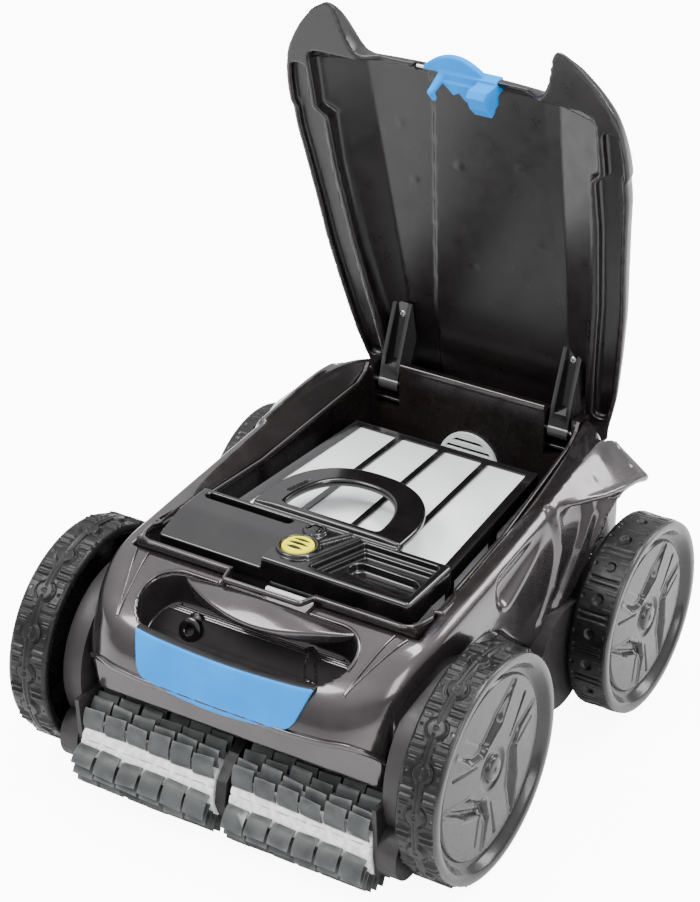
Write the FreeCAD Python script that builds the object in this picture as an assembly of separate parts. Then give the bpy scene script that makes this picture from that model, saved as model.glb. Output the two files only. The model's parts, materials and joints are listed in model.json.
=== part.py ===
import FreeCAD
import Part
import math
import os

from FreeCAD import Vector

# Robotic pool cleaner with four wheels, two front brush rollers and a lift-out filter under a lid.
# Millimetres. +X is the machine's right, -Y is the front, +Z is up, and the wheels stand on z = 0.
# Sizes below are measured from the front axle; every part is moved by FRONT_AXLE_Y when it is saved,
# which puts the origin under the middle of the whole machine with its lid open.

FRONT_AXLE_Y = -136.65

# Wheels
FRONT_WHEEL_R = 104.0
REAR_WHEEL_R = 93.5
WHEELBASE = 289.0
WHEEL_INNER_X = 175.0
WHEEL_OUTER_X = 215.0
TYRE_DEPTH = 16.0
AXLE_R = 6.0
HUB_R = 12.0
RUNNING_GAP = 0.06

# Gear train, one in each side case
MODULE = 2.0
PRESSURE_ANGLE = math.radians(20)
BACKLASH = 0.4
FRONT_GEAR_TEETH = 44
IDLER_TEETH = 44
PINION_TEETH = 16
REAR_GEAR_TEETH = 40
BRUSH_IDLER_TEETH = 12
BRUSH_GEAR_TEETH = 19
GEAR_X0 = 155.0
GEAR_X1 = 166.0
PIN_R = 4.0
MOTOR_SHAFT_R = 3.0

# Side walls of the chassis and the gear cases outside them
WALL_X0 = 148.0
WALL_X1 = 152.0
CASE_X0 = 152.3
CASE_FLOOR_X = 168.0
CASE_X1 = 171.0

# Brush rollers
BRUSH_Y = -64.3
BRUSH_Z = 45.4
BRUSH_R = 45.0
BRUSH_CORE_R = 33.0
BRUSH_X0 = 8.0
BRUSH_X1 = 146.0
FIN_ROWS = 16
FINS_PER_ROW = 6
FIN_THICKNESS = 2.0
FIN_GAP = 3.0

# Body, filter bay and nose
SHELL_WALL = 3.5
TOP_Z = 214.0
TOP_SLOPE = 0.1
NOSE_Z = 222.0
NOSE_SLOPE = 0.436
BAY_WALL = 3.0
BAY_FLOOR_Z = 112.0
BAY_RIM_Z = 221.0
REAR_WALL_Y0 = 330.0
REAR_WALL_Y1 = 350.0
PUMP_Z = 172.0
RECESS_HALF_X = 104.0
RECESS_Y0 = -76.0
RECESS_Y1 = -22.0
RECESS_FLOOR_Z = 150.0

# Lid hinge: the lid is drawn closed and then turned open
HINGE_Y = 338.0
HINGE_Z = 228.0
HINGE_PIN_R = 3.0
LID_OPEN_DEG = 81.4
ARM_X0 = 80.0
ARM_X1 = 100.0
LINER_Z = 241.0
LINER_SLOPE = 0.07
LINER_WALL = 2.5

# Filter, its cover and the round button
FILTER_Y0 = 8.0
FILTER_Y1 = 285.0
FILTER_HALF_FRONT = 118.0
FILTER_HALF_REAR = 96.0
FILTER_Z0 = 118.0
FILTER_WALL = 3.0
FILTER_TOP = 2.0
FILTER_Z1 = 210.0
COVER_Z1 = 235.0
BUTTON_Y = 33.0
BUTTON_R = 14.5

SIDES = {"left": -1, "right": 1}


def save(name, *solids):
    shape = solids[0] if len(solids) == 1 else Part.makeCompound(list(solids))
    shape = shape.copy()
    shape.translate(Vector(0, FRONT_AXLE_Y, 0))
    shape.exportStep("parts/" + name + ".step")


# ---- simple solids ----

def box(x0, x1, y0, y1, z0, z1):
    return Part.makeBox(x1 - x0, y1 - y0, z1 - z0, Vector(x0, y0, z0))


def span(x0=-300.0, x1=300.0, y0=-300.0, y1=500.0, z0=-50.0, z1=400.0):
    """A block that reaches past the whole machine on every side that isn't given."""
    return box(x0, x1, y0, y1, z0, z1)


def around_hole(x0, x1, y0, y1, z0, z1):
    """Four blocks that surround a rectangular hole."""
    return [span(y1=y0, z0=z0, z1=z1), span(y0=y1, z0=z0, z1=z1),
            span(x1=x0, y0=y0, y1=y1, z0=z0, z1=z1), span(x0=x1, y0=y0, y1=y1, z0=z0, z1=z1)]


def rod_x(radius, x0, x1, y, z):
    return Part.makeCylinder(radius, x1 - x0, Vector(x0, y, z), Vector(1, 0, 0))


def rod_y(radius, y0, y1, x, z):
    return Part.makeCylinder(radius, y1 - y0, Vector(x, y0, z), Vector(0, 1, 0))


def rod_z(radius, z0, z1, x, y):
    return Part.makeCylinder(radius, z1 - z0, Vector(x, y, z0), Vector(0, 0, 1))


def polygon(points):
    return Part.makePolygon(list(points) + [points[0]])


def prism_x(yz, x0, x1):
    face = Part.Face(polygon([Vector(x0, y, z) for y, z in yz]))
    return face.extrude(Vector(x1 - x0, 0, 0))


def prism_y(xz, y0, y1):
    face = Part.Face(polygon([Vector(x, y0, z) for x, z in xz]))
    return face.extrude(Vector(0, y1 - y0, 0))


def prism_z(xy, z0, z1):
    face = Part.Face(polygon([Vector(x, y, z0) for x, y in xy]))
    return face.extrude(Vector(0, 0, z1 - z0))


def turned_x(profile, y, z):
    """Solid of revolution about the line along X through (y, z), from (x, radius) points."""
    face = Part.Face(polygon([Vector(x, y, z + r) for x, r in profile]))
    return face.revolve(Vector(0, y, z), Vector(1, 0, 0), 360)


def mirrored(shape):
    return shape.mirror(Vector(0, 0, 0), Vector(1, 0, 0))


def on_side(shape, side):
    """A shape drawn on the right, or its mirror image on the left."""
    return shape if side > 0 else mirrored(shape)


def both(shape):
    return [shape, mirrored(shape)]


def joined(*shapes):
    return shapes[0].multiFuse(list(shapes[1:])).removeSplitter()


def whole_outline(half):
    """Closed outline from its right half, which runs from the front middle to the rear middle."""
    return half + [(-x, y) for x, y in reversed(half) if x > 0]


def below_plane(z_at_zero, slope, y0, y1):
    """Everything under the sloping plane z = z_at_zero + slope * y."""
    low = -50.0
    return prism_x([(y0, low), (y1, low), (y1, z_at_zero + slope * y1), (y0, z_at_zero + slope * y0)],
                   -260, 260)


# ---- outer body form ----

BODY_LEVELS = [
    (96, [(0, -95), (76, -95), (126, -92), (150, -80), (156, -40), (157, 90), (157, 200),
          (157, 300), (140, 346), (80, 360), (0, 361)]),
    (146, [(0, -101), (76, -100), (120, -92), (146, -74), (158, -40), (160, 90), (160, 200),
           (158, 300), (140, 346), (80, 360), (0, 361)]),
    (187, [(0, -84), (86, -80), (118, -76), (146, -62), (160, -35), (162, 60), (160, 200),
           (158, 300), (138, 342), (80, 355), (0, 356)]),
    (215, [(0, -60), (80, -58), (112, -54), (138, -42), (154, -18), (157, 60), (154, 200),
           (150, 300), (132, 340), (80, 352), (0, 353)]),
    (250, [(0, -20), (70, -20), (100, -18), (122, -12), (138, 2), (145, 60), (145, 200),
           (140, 300), (126, 336), (80, 348), (0, 349)]),
]
BODY_CENTRE_Y = 130.0
BODY_HALF = (160.0, 230.0)


def body_form(grow, z_lift=0.0):
    """The body's outer form, grown outwards by so many millimetres (inwards if negative)."""
    scale_x = 1 + grow / BODY_HALF[0]
    scale_y = 1 + grow / BODY_HALF[1]
    wires = []
    for z, half in BODY_LEVELS:
        points = [Vector(x * scale_x, BODY_CENTRE_Y + (y - BODY_CENTRE_Y) * scale_y, z + z_lift)
                  for x, y in whole_outline(half)]
        wires.append(polygon(points))
    return Part.makeLoft(wires, True, True)


def roof(drop):
    """Space under both the nose slope and the slope of the body's top, lowered by so much."""
    return below_plane(TOP_Z - drop, TOP_SLOPE, -140, 400).common(
        below_plane(NOSE_Z - drop, NOSE_SLOPE, -140, 400))


def stadium(x0, x1, y0, y1, z0, z1):
    r = (y1 - y0) / 2
    y = (y0 + y1) / 2
    middle = box(x0 + r, x1 - r, y0, y1, z0, z1)
    return joined(middle, rod_z(r, z0, z1, x0 + r, y), rod_z(r, z0, z1, x1 - r, y))


def lid_sweep():
    """Space behind the hinge that the lid's rear edge moves through."""
    clear_r = 21.0
    space = rod_x(60, -150, 150, HINGE_Y, HINGE_Z).cut(rod_x(clear_r, -151, 151, HINGE_Y, HINGE_Z))
    return space.common(box(-150, 150, HINGE_Y, 420, 212, 300))


def hinge_pockets():
    return both(box(77, 105, REAR_WALL_Y0 - 2, 400, 204, 300))


GLAND_END = Vector(-63, -42, 170)
GLAND_DIRECTION = Vector(0, -0.906, 0.423)
GLAND_LENGTH = 26.0
GLAND_R = 11.0
GLAND_BORE_R = 4.5


def gland_rod(radius, past=0.0, behind=0.0):
    start = GLAND_END - GLAND_DIRECTION * (GLAND_LENGTH + behind)
    return Part.makeCylinder(radius, GLAND_LENGTH + past + behind, start, GLAND_DIRECTION)


def rear_fender():
    """Flared lip over a rear wheel."""
    outline = [(205, 212), (235, 229), (300, 233), (335, 220), (352, 200), (350, 195),
               (318, 205), (285, 208), (240, 205)]
    return prism_x(outline, 146, 176)


def body_shell():
    outer = body_form(0).common(roof(0))
    inner = body_form(-SHELL_WALL).common(roof(SHELL_WALL))
    inner = inner.fuse(body_form(-SHELL_WALL, -10).common(box(-300, 300, -200, 400, 80, 120)))
    shell = outer.cut(inner)
    fenders = [f.cut(inner) for f in both(rear_fender())]
    dish = stadium(-RECESS_HALF_X - 3, RECESS_HALF_X + 3, RECESS_Y0 - 3, RECESS_Y1 + 3,
                   RECESS_FLOOR_Z - 3, 260).common(roof(0)).common(body_form(0))
    shell = joined(shell, dish, *fenders)
    cuts = [stadium(-RECESS_HALF_X, RECESS_HALF_X, RECESS_Y0, RECESS_Y1, RECESS_FLOOR_Z, 260)]
    cuts.append(rod_x(54, -150, 150, BRUSH_Y, BRUSH_Z))
    cuts.append(prism_y([(-148, 90), (148, 90), (146, 128), (126, 141), (60, 146),
                         (-60, 146), (-126, 141), (-146, 128)], -140, -88))
    cuts.append(prism_z(bay_outline(BAY_WALL + 0.2), BAY_FLOOR_Z - 5, 300))
    cuts.append(prism_z(notch_outline(BAY_WALL + 0.2), 185, 300))
    for side in (-1, 1):
        cuts.append(on_side(rod_x(112, 151.5, 200, 0, FRONT_WHEEL_R), side))
        cuts.append(on_side(rod_x(101, 151.5, 200, WHEELBASE, REAR_WHEEL_R), side))
        cuts.append(on_side(box(151.5, 200, 80, 230, 80, 142), side))
    cuts += [lid_sweep(), gland_rod(GLAND_R + 0.05, 0, 6), rod_y(34.3, REAR_WALL_Y1, 400, 0, PUMP_Z)]
    cuts += hinge_pockets()
    return shell.cut(cuts)


def shell_mouldings(shell):
    """The shell as separate mouldings that meet face to face: recess, nose, cheeks, flanks and tail."""
    seam_x, tail_y, cheek_y = 112.0, -5.0, -30.0
    front_y, back_y = RECESS_Y0 + 6, RECESS_Y1 - 0.5
    gland_x0, gland_x, gland_x1, gland_z = -75.0, -63.0, -51.0, 161.0
    dish = stadium(-RECESS_HALF_X - 3, RECESS_HALF_X + 3, RECESS_Y0 - 3, RECESS_Y1 + 3, 140, 260)
    dish_cuts = [span(y1=front_y), span(x1=gland_x0, y0=front_y, y1=back_y),
                 span(x0=gland_x0, x1=gland_x1, y0=front_y, y1=back_y),
                 span(x0=gland_x1, y0=front_y, y1=back_y),
                 span(x1=gland_x0, y0=back_y), span(x0=gland_x1, y0=back_y)]
    for x0, x1 in ((gland_x0, gland_x), (gland_x, gland_x1)):
        dish_cuts += [span(x0=x0, x1=x1, y0=back_y, z1=gland_z), span(x0=x0, x1=x1, y0=back_y, z0=gland_z)]
    nose = [span(x0=0, x1=seam_x, y1=front_y), span(x0=0, x1=seam_x, y0=front_y, y1=back_y)]
    cheek = [span(x0=seam_x, y1=cheek_y)]
    flanks = [span(x0=seam_x, y0=y0, y1=y1) for y0, y1 in ((cheek_y, 100), (100, 230), (230, 420))]
    regions = [span(x0=-seam_x, x1=seam_x, y0=tail_y),
               span(x0=-seam_x, x1=seam_x, y0=back_y, y1=tail_y).cut(dish)]
    for region in nose + cheek + flanks:
        regions += both(region.cut(dish))
    return [shell.common(region) for region in [dish.common(cut) for cut in dish_cuts] + regions]


# ---- filter bay ----

def bay_outline(grow):
    half = [(0, -5 - grow), (136 + grow, -5 - grow), (138 + grow, 10), (110 + grow, REAR_WALL_Y0)]
    if grow > 0:
        half += [(110 + grow, REAR_WALL_Y1 + grow - BAY_WALL), (0, REAR_WALL_Y1 + grow - BAY_WALL)]
    else:
        half += [(0, REAR_WALL_Y0)]
    return whole_outline(half)


def notch_outline(grow):
    """Small bay in the front rim that takes the lid's latch."""
    return [(-41 - grow, -22 - grow), (41 + grow, -22 - grow), (41 + grow, 0), (-41 - grow, 0)]


def intake_duct(wall, z0, z1):
    return box(-56 - wall, 56 + wall, 20 - wall, 60 + wall, z0, z1)


def filter_bay():
    tub = prism_z(bay_outline(BAY_WALL), BAY_FLOOR_Z - 3, 300)
    rim = [(-5, 216), (200, 216), (253, 221), (305, 229), (322, 236), (330, 247), (400, 249)]
    front_lip = box(-260, 260, -60, -4.9, 0, BAY_RIM_Z)
    tub = tub.common(joined(prism_x([(-5, 0)] + rim + [(400, 0)], -260, 260), front_lip))
    notch = prism_z(notch_outline(BAY_WALL), 187, 212)
    tub = joined(tub, notch, intake_duct(3, 32, BAY_FLOOR_Z - 2))
    cuts = [prism_z(bay_outline(0), BAY_FLOOR_Z, 300), intake_duct(0, 20, 130),
            prism_z(notch_outline(0), 190, 300), rod_y(29, 320, 400, 0, PUMP_Z), lid_sweep(),
            rod_x(HINGE_PIN_R + 0.02, -108, 108, HINGE_Y, HINGE_Z)]
    cuts += hinge_pockets()
    catch_ledge = box(-40, 40, -22, -19, 205, 208)
    return joined(tub.cut(cuts), catch_ledge)


def bay_mouldings(tub):
    """The bay as a duct, a floor and walls that meet face to face."""
    under, floor = BAY_FLOOR_Z - 3, BAY_FLOOR_Z
    regions = around_hole(-56, 56, 20, 60, 0, under) + around_hole(-56, 56, 20, 60, under, floor)
    regions += [span(x0=-47, x1=47, y1=-5, z0=floor)] + both(span(x0=47, y1=-5, z0=floor))
    regions += both(span(x0=0, y0=-5, y1=REAR_WALL_Y0, z0=floor))
    for x0, x1 in ((0, 77), (77, 105), (105, 300)):
        regions += both(span(x0=x0, x1=x1, y0=REAR_WALL_Y0, z0=floor))
    return [tub.common(region) for region in regions]


# ---- chassis ----

def side_wall_outline():
    """Side wall, with a front leg that carries the outer end of a brush roller."""
    return [(-90, 95), (-85, 24), (-40, 22), (-14, 28), (302, 28), (302, 140), (60, 156), (-38, 150),
            (-38, 95)]


def chassis_plan(inset):
    half = [(0, -14 + inset), (WALL_X1 - inset, -14 + inset), (WALL_X1 - inset, 302),
            (139 - inset, 344 - inset), (80, 357 - inset), (0, 358 - inset)]
    return whole_outline(half)


def base_chassis():
    floor_z = 28.0
    tray = prism_z(chassis_plan(0), floor_z, 95).cut(prism_z(chassis_plan(4), floor_z + 4, 96))
    walls = both(prism_x(side_wall_outline(), WALL_X0, WALL_X1))
    chassis = joined(tray, *walls)
    cuts = [intake_duct(0, 20, 60)]
    cuts += both(rod_x(AXLE_R + RUNNING_GAP, 140, 160, BRUSH_Y, BRUSH_Z))
    for (y, z), radius in axle_seats():
        cuts += both(rod_x(radius + 0.05, 140, 160, y, z))
    cuts += both(rod_x(6, 140, 160, *PINION_AT))
    return chassis.cut(cuts)


def brush_hanger():
    """Hooked plate between the two rollers, with a pin for the inner end of each."""
    hook = [(-40, 97), (-70, 84), (-90, 66), (-94, 44), (-88, 28), (-78, 22), (-62, 30),
            (-50, 34), (-44, 60), (-30, 72), (-14.1, 76), (-14.1, 100)]
    plate = prism_x(hook, -5, 5)
    return joined(plate, rod_x(5, -16, 16, BRUSH_Y, BRUSH_Z), rod_x(20, -5, 5, BRUSH_Y, BRUSH_Z))


# ---- gear train ----

def circle_meeting(a, ra, b, rb):
    """Lower meeting point of two circles in the (y, z) plane."""
    dy, dz = b[0] - a[0], b[1] - a[1]
    d = math.hypot(dy, dz)
    along = (ra * ra - rb * rb + d * d) / (2 * d)
    off = math.sqrt(ra * ra - along * along)
    return (a[0] + along * dy / d + off * dz / d, a[1] + along * dz / d - off * dy / d)


def on_line(a, b, distance):
    d = math.hypot(b[0] - a[0], b[1] - a[1])
    return (a[0] + (b[0] - a[0]) * distance / d, a[1] + (b[1] - a[1]) * distance / d)


def pitch_r(teeth):
    return MODULE * teeth / 2


FRONT_AXLE = (0.0, FRONT_WHEEL_R)
REAR_AXLE = (WHEELBASE, REAR_WHEEL_R)
BRUSH_AXLE = (BRUSH_Y, BRUSH_Z)
PINION_AT = circle_meeting(
    FRONT_AXLE, pitch_r(FRONT_GEAR_TEETH) + 2 * pitch_r(IDLER_TEETH) + pitch_r(PINION_TEETH),
    REAR_AXLE, pitch_r(REAR_GEAR_TEETH) + 2 * pitch_r(IDLER_TEETH) + pitch_r(PINION_TEETH))
FRONT_IDLER_AT = on_line(FRONT_AXLE, PINION_AT, pitch_r(FRONT_GEAR_TEETH) + pitch_r(IDLER_TEETH))
REAR_IDLER_AT = on_line(REAR_AXLE, PINION_AT, pitch_r(REAR_GEAR_TEETH) + pitch_r(IDLER_TEETH))
BRUSH_IDLER_AT = on_line(FRONT_AXLE, BRUSH_AXLE,
                         pitch_r(FRONT_GEAR_TEETH) + pitch_r(BRUSH_IDLER_TEETH))


def axle_seats():
    """Fixed axles and pins on each side wall, with their radii."""
    return [(FRONT_AXLE, AXLE_R), (REAR_AXLE, AXLE_R), (FRONT_IDLER_AT, PIN_R),
            (REAR_IDLER_AT, PIN_R), (BRUSH_IDLER_AT, PIN_R)]


def involute(angle):
    return math.tan(angle) - angle


def gear_outline(teeth, phase, centre):
    """Outline of a spur gear, with short teeth thinned for backlash."""
    r = pitch_r(teeth)
    base = r * math.cos(PRESSURE_ANGLE)
    tip = r + 0.75 * MODULE
    root = r - 1.0 * MODULE
    half_at_pitch = math.pi / (2 * teeth) - BACKLASH / (4 * r)
    start = max(base, root + 0.01)
    flank = []
    for step in range(4):
        radius = start + (tip - start) * step / 3
        pressure = math.acos(min(1.0, base / radius))
        flank.append((radius, half_at_pitch + involute(PRESSURE_ANGLE) - involute(pressure)))
    if start > root + 0.05:
        flank.insert(0, (root, flank[0][1]))
    points = []
    for tooth in range(teeth):
        middle = phase + 2 * math.pi * tooth / teeth
        rise = [(radius, middle - half) for radius, half in flank]
        fall = [(radius, middle + half) for radius, half in reversed(flank)]
        points += rise + fall
    return [(centre[0] + radius * math.cos(a), centre[1] + radius * math.sin(a)) for radius, a in points]


def meshing_phase(teeth_a, phase_a, centre_a, teeth_b, centre_b):
    """Turn of gear b, so that one of its gaps faces a tooth of gear a on the line of centres."""
    line = math.atan2(centre_b[1] - centre_a[1], centre_b[0] - centre_a[0])
    into_a = teeth_a * (line - phase_a) / (2 * math.pi)
    return line + math.pi - (0.5 - into_a) * 2 * math.pi / teeth_b


def gear_phases():
    front = 0.0
    front_idler = meshing_phase(FRONT_GEAR_TEETH, front, FRONT_AXLE, IDLER_TEETH, FRONT_IDLER_AT)
    pinion = meshing_phase(IDLER_TEETH, front_idler, FRONT_IDLER_AT, PINION_TEETH, PINION_AT)
    rear_idler = meshing_phase(PINION_TEETH, pinion, PINION_AT, IDLER_TEETH, REAR_IDLER_AT)
    rear = meshing_phase(IDLER_TEETH, rear_idler, REAR_IDLER_AT, REAR_GEAR_TEETH, REAR_AXLE)
    brush_idler = meshing_phase(FRONT_GEAR_TEETH, front, FRONT_AXLE, BRUSH_IDLER_TEETH, BRUSH_IDLER_AT)
    brush = meshing_phase(BRUSH_IDLER_TEETH, brush_idler, BRUSH_IDLER_AT, BRUSH_GEAR_TEETH, BRUSH_AXLE)
    return front, front_idler, pinion, rear_idler, rear, brush_idler, brush


def gear(teeth, phase, centre, bore_r):
    blank = prism_x(gear_outline(teeth, phase, centre), GEAR_X0, GEAR_X1)
    if bore_r:
        blank = blank.cut(rod_x(bore_r, GEAR_X0 - 1, GEAR_X1 + 1, *centre))
    return blank


def save_gears(name, side):
    front, front_idler, pinion, rear_idler, rear, brush_idler, brush = gear_phases()
    axle_bore = AXLE_R + RUNNING_GAP
    pin_bore = PIN_R + RUNNING_GAP
    gears = {
        "wheel_gear_front_": gear(FRONT_GEAR_TEETH, front, FRONT_AXLE, axle_bore),
        "wheel_gear_rear_": gear(REAR_GEAR_TEETH, rear, REAR_AXLE, axle_bore),
        "front_idler_": gear(IDLER_TEETH, front_idler, FRONT_IDLER_AT, pin_bore),
        "rear_idler_": gear(IDLER_TEETH, rear_idler, REAR_IDLER_AT, pin_bore),
        "brush_idler_": gear(BRUSH_IDLER_TEETH, brush_idler, BRUSH_IDLER_AT, pin_bore),
        "brush_gear_": gear(BRUSH_GEAR_TEETH, brush, BRUSH_AXLE, 0),
    }
    motor_shaft = rod_x(MOTOR_SHAFT_R, 118, GEAR_X0, *PINION_AT)
    gears["drive_pinion_"] = joined(gear(PINION_TEETH, pinion, PINION_AT, 0), motor_shaft)
    for prefix, shape in gears.items():
        save(prefix + name, on_side(shape, side))


def gear_axles():
    axles = []
    for (y, z), radius in axle_seats():
        end = 209.0 if radius == AXLE_R else CASE_FLOOR_X
        axles.append(rod_x(radius, WALL_X0, end, y, z))
    return axles + [mirrored(a) for a in axles]


def side_cover():
    """Closed outer half of the gear case, with a pocket for each gear."""
    seats = [(FRONT_AXLE, 80), (FRONT_IDLER_AT, 51), (PINION_AT, 24), (REAR_IDLER_AT, 51),
             (REAR_AXLE, 58), (BRUSH_IDLER_AT, 20), (BRUSH_AXLE, 26)]
    pockets = [(FRONT_AXLE, 48), (FRONT_IDLER_AT, 48), (PINION_AT, 20), (REAR_IDLER_AT, 48),
               (REAR_AXLE, 44), (BRUSH_IDLER_AT, 16), (BRUSH_AXLE, 23)]
    case = joined(*[rod_x(r, CASE_X0, CASE_X1, *at) for at, r in seats])
    cuts = [rod_x(r, CASE_X0 - 1, CASE_FLOOR_X, *at) for at, r in pockets]
    cuts += [rod_x(HUB_R + 0.6, CASE_X0, CASE_X1 + 1, *at) for at in (FRONT_AXLE, REAR_AXLE)]
    return case.cut(cuts)


# ---- wheels ----

def tyre(outer_r, y, z):
    seat = outer_r - TYRE_DEPTH
    x0, x1 = WHEEL_INNER_X, WHEEL_OUTER_X
    profile = [(x0 + 3, seat), (x1 - 2, seat), (x1, seat + 3), (x1, outer_r - 5), (x1 - 3, outer_r - 1),
               (x1 - 6, outer_r), (x0 + 6, outer_r), (x0 + 3, outer_r - 1), (x0, outer_r - 5),
               (x0, seat + 3)]
    return turned_x(profile, y, z)


def rim(outer_r, y, z):
    seat = outer_r - TYRE_DEPTH
    bore = AXLE_R + RUNNING_GAP
    profile = [(178, seat), (213, seat), (213, seat - 4), (207, seat - 6), (205, HUB_R + 3),
               (210, HUB_R), (210, bore), (GEAR_X1, bore), (GEAR_X1, HUB_R), (199, HUB_R),
               (202, HUB_R + 6), (203, seat - 7), (200, seat - 3), (178, seat - 3)]
    return turned_x(profile, y, z)


def hubcap(y, z):
    return turned_x([(210, 0), (210, 11.5), (212, 11), (213.4, 7), (213.6, 0)], y, z)


def save_wheels(name, side):
    for place, radius, at in (("front_", FRONT_WHEEL_R, FRONT_AXLE), ("rear_", REAR_WHEEL_R, REAR_AXLE)):
        save("tyre_" + place + name, on_side(tyre(radius, *at), side))
        save("rim_" + place + name, on_side(rim(radius, *at), side))
        save("hubcap_" + place + name, on_side(hubcap(*at), side))


# ---- brush rollers ----

def brush_core():
    r = BRUSH_CORE_R
    profile = [(BRUSH_X0, 5 + RUNNING_GAP), (BRUSH_X0, r), (BRUSH_X1, r), (BRUSH_X1, AXLE_R),
               (GEAR_X0, AXLE_R), (GEAR_X0, 0), (BRUSH_X1 - 8, 0), (BRUSH_X1 - 8, r - 4),
               (BRUSH_X0 + 9, r - 4), (BRUSH_X0 + 9, 5 + RUNNING_GAP)]
    return turned_x(profile, BRUSH_Y, BRUSH_Z)


def brush_fins():
    """Thin rubber sleeve round the core, with rows of fins that are staggered from place to place."""
    pitch = (BRUSH_X1 - BRUSH_X0) / FINS_PER_ROW
    core = rod_x(BRUSH_CORE_R, BRUSH_X0 - 1, BRUSH_X1 + 1, BRUSH_Y, BRUSH_Z)
    fins = [rod_x(BRUSH_CORE_R + 1, BRUSH_X0 + 1, BRUSH_X1 - 1, BRUSH_Y, BRUSH_Z)]
    for row in range(FIN_ROWS):
        for place in range(FINS_PER_ROW):
            x0 = BRUSH_X0 + place * pitch + FIN_GAP / 2
            fin = box(x0, x0 + pitch - FIN_GAP, BRUSH_Y - FIN_THICKNESS / 2, BRUSH_Y + FIN_THICKNESS / 2,
                      BRUSH_Z + BRUSH_CORE_R - 4, BRUSH_Z + BRUSH_R - 0.1)
            turn = 360.0 * row / FIN_ROWS + 5 * (place % 2)
            fin.rotate(Vector(0, BRUSH_Y, BRUSH_Z), Vector(1, 0, 0), turn)
            fins.append(fin)
    return joined(*fins).cut(core)


# ---- nose pieces ----

def front_trim():
    """Bowed plate on the front of the nose."""
    outline = [(-88, 186), (88, 186), (80, 156), (76, 151), (66, 148.5), (-66, 148.5), (-76, 151),
               (-80, 156)]
    grown = body_form(2.5).common(prism_y(outline, -130, -60))
    return grown.cut(body_form(0.02)).common(below_plane(NOSE_Z - 1, NOSE_SLOPE, -140, 0))


def handle_grip():
    """Spindle-shaped carrying grip across the back of the recess."""
    x0, x1, y, z, radius = -80.0, 94.0, -37.0, 203.0, 15.0
    steps = 12
    profile = [(x0 + (x1 - x0) * n / steps, radius * math.sin(math.pi * n / steps) ** 0.7)
               for n in range(1, steps)]
    spindle = turned_x([(x0, 0.0)] + profile + [(x1, 0.0)], y, z)
    notch = prism_z(notch_outline(BAY_WALL + 0.2), 150, 300)
    return spindle.cut([body_shell_solid, notch])


def cable_gland():
    rim_r = GLAND_R - 2.5
    flange_back = GLAND_DIRECTION * 8
    body = Part.makeCylinder(GLAND_R, GLAND_LENGTH - 8, GLAND_END - GLAND_DIRECTION * GLAND_LENGTH,
                             GLAND_DIRECTION)
    nose = Part.makeCone(GLAND_R, rim_r, 8, GLAND_END - flange_back, GLAND_DIRECTION)
    return joined(body, nose).cut(gland_rod(GLAND_BORE_R, 5))


# ---- motors, pump and impeller ----

HOUSING = (-147.0, 147.0, 100.0, 230.0, 33.0, 106.0)


def motor_housing():
    x0, x1, y0, y1, z0, z1 = HOUSING
    wall = 2.5
    tray = box(x0, x1, y0, y1, z0, z1).cut(box(x0 + wall, x1 - wall, y0 + wall, y1 - wall, z0 + wall, z1 + 1))
    return tray.cut(both(rod_x(5, 130, 150, *PINION_AT)))


def motor_housing_cap():
    x0, x1, y0, y1, z0, z1 = HOUSING
    return box(x0, x1, y0, y1, z1, z1 + 2.8)


def drive_motors():
    can = joined(rod_x(15, 84, 140, *PINION_AT), rod_x(8, 140, 144.4, *PINION_AT))
    return both(can.cut(rod_x(MOTOR_SHAFT_R + RUNNING_GAP, 116, 146, *PINION_AT)))


def impeller():
    hub = rod_y(9, 333, 343, 0, PUMP_Z)
    blades = []
    for turn in range(5):
        blade = box(-1, 1, 334, 342, PUMP_Z + 5, PUMP_Z + 27)
        blade.rotate(Vector(0, 338, PUMP_Z), Vector(0, 0, 1), 35)
        blade.rotate(Vector(0, 338, PUMP_Z), Vector(0, 1, 0), 72 * turn)
        blades.append(blade)
    return joined(hub, *blades).cut(rod_y(2 + RUNNING_GAP, 330, 350, 0, PUMP_Z))


def pump_motor():
    return joined(rod_y(19, 345, 358, 0, PUMP_Z), rod_y(2, 334, 346, 0, PUMP_Z))


def pump_screen():
    """Round guard on the bay's rear wall, in front of the impeller."""
    disc = rod_y(31, 327, 329.9, 0, PUMP_Z)
    slots = [box(-26, 26, 320, 335, PUMP_Z - 20 + 8 * n, PUMP_Z - 16 + 8 * n) for n in range(6)]
    inside = rod_y(27, 320, 335, 0, PUMP_Z)
    return disc.cut([slot.common(inside) for slot in slots])


def outlet_grille():
    ring = rod_y(34, 350.1, 354, 0, PUMP_Z).cut(rod_y(30, 349, 356, 0, PUMP_Z))
    inner = rod_y(22, 350.1, 354, 0, PUMP_Z).cut(rod_y(19.02, 349, 356, 0, PUMP_Z))
    spokes = []
    for turn in range(6):
        spoke = box(-1.2, 1.2, 350.1, 354, PUMP_Z + 20.5, PUMP_Z + 32)
        spoke.rotate(Vector(0, 350, PUMP_Z), Vector(0, 1, 0), 60 * turn)
        spokes.append(spoke)
    return joined(ring, inner, *spokes)


# ---- lid, drawn closed ----

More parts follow.
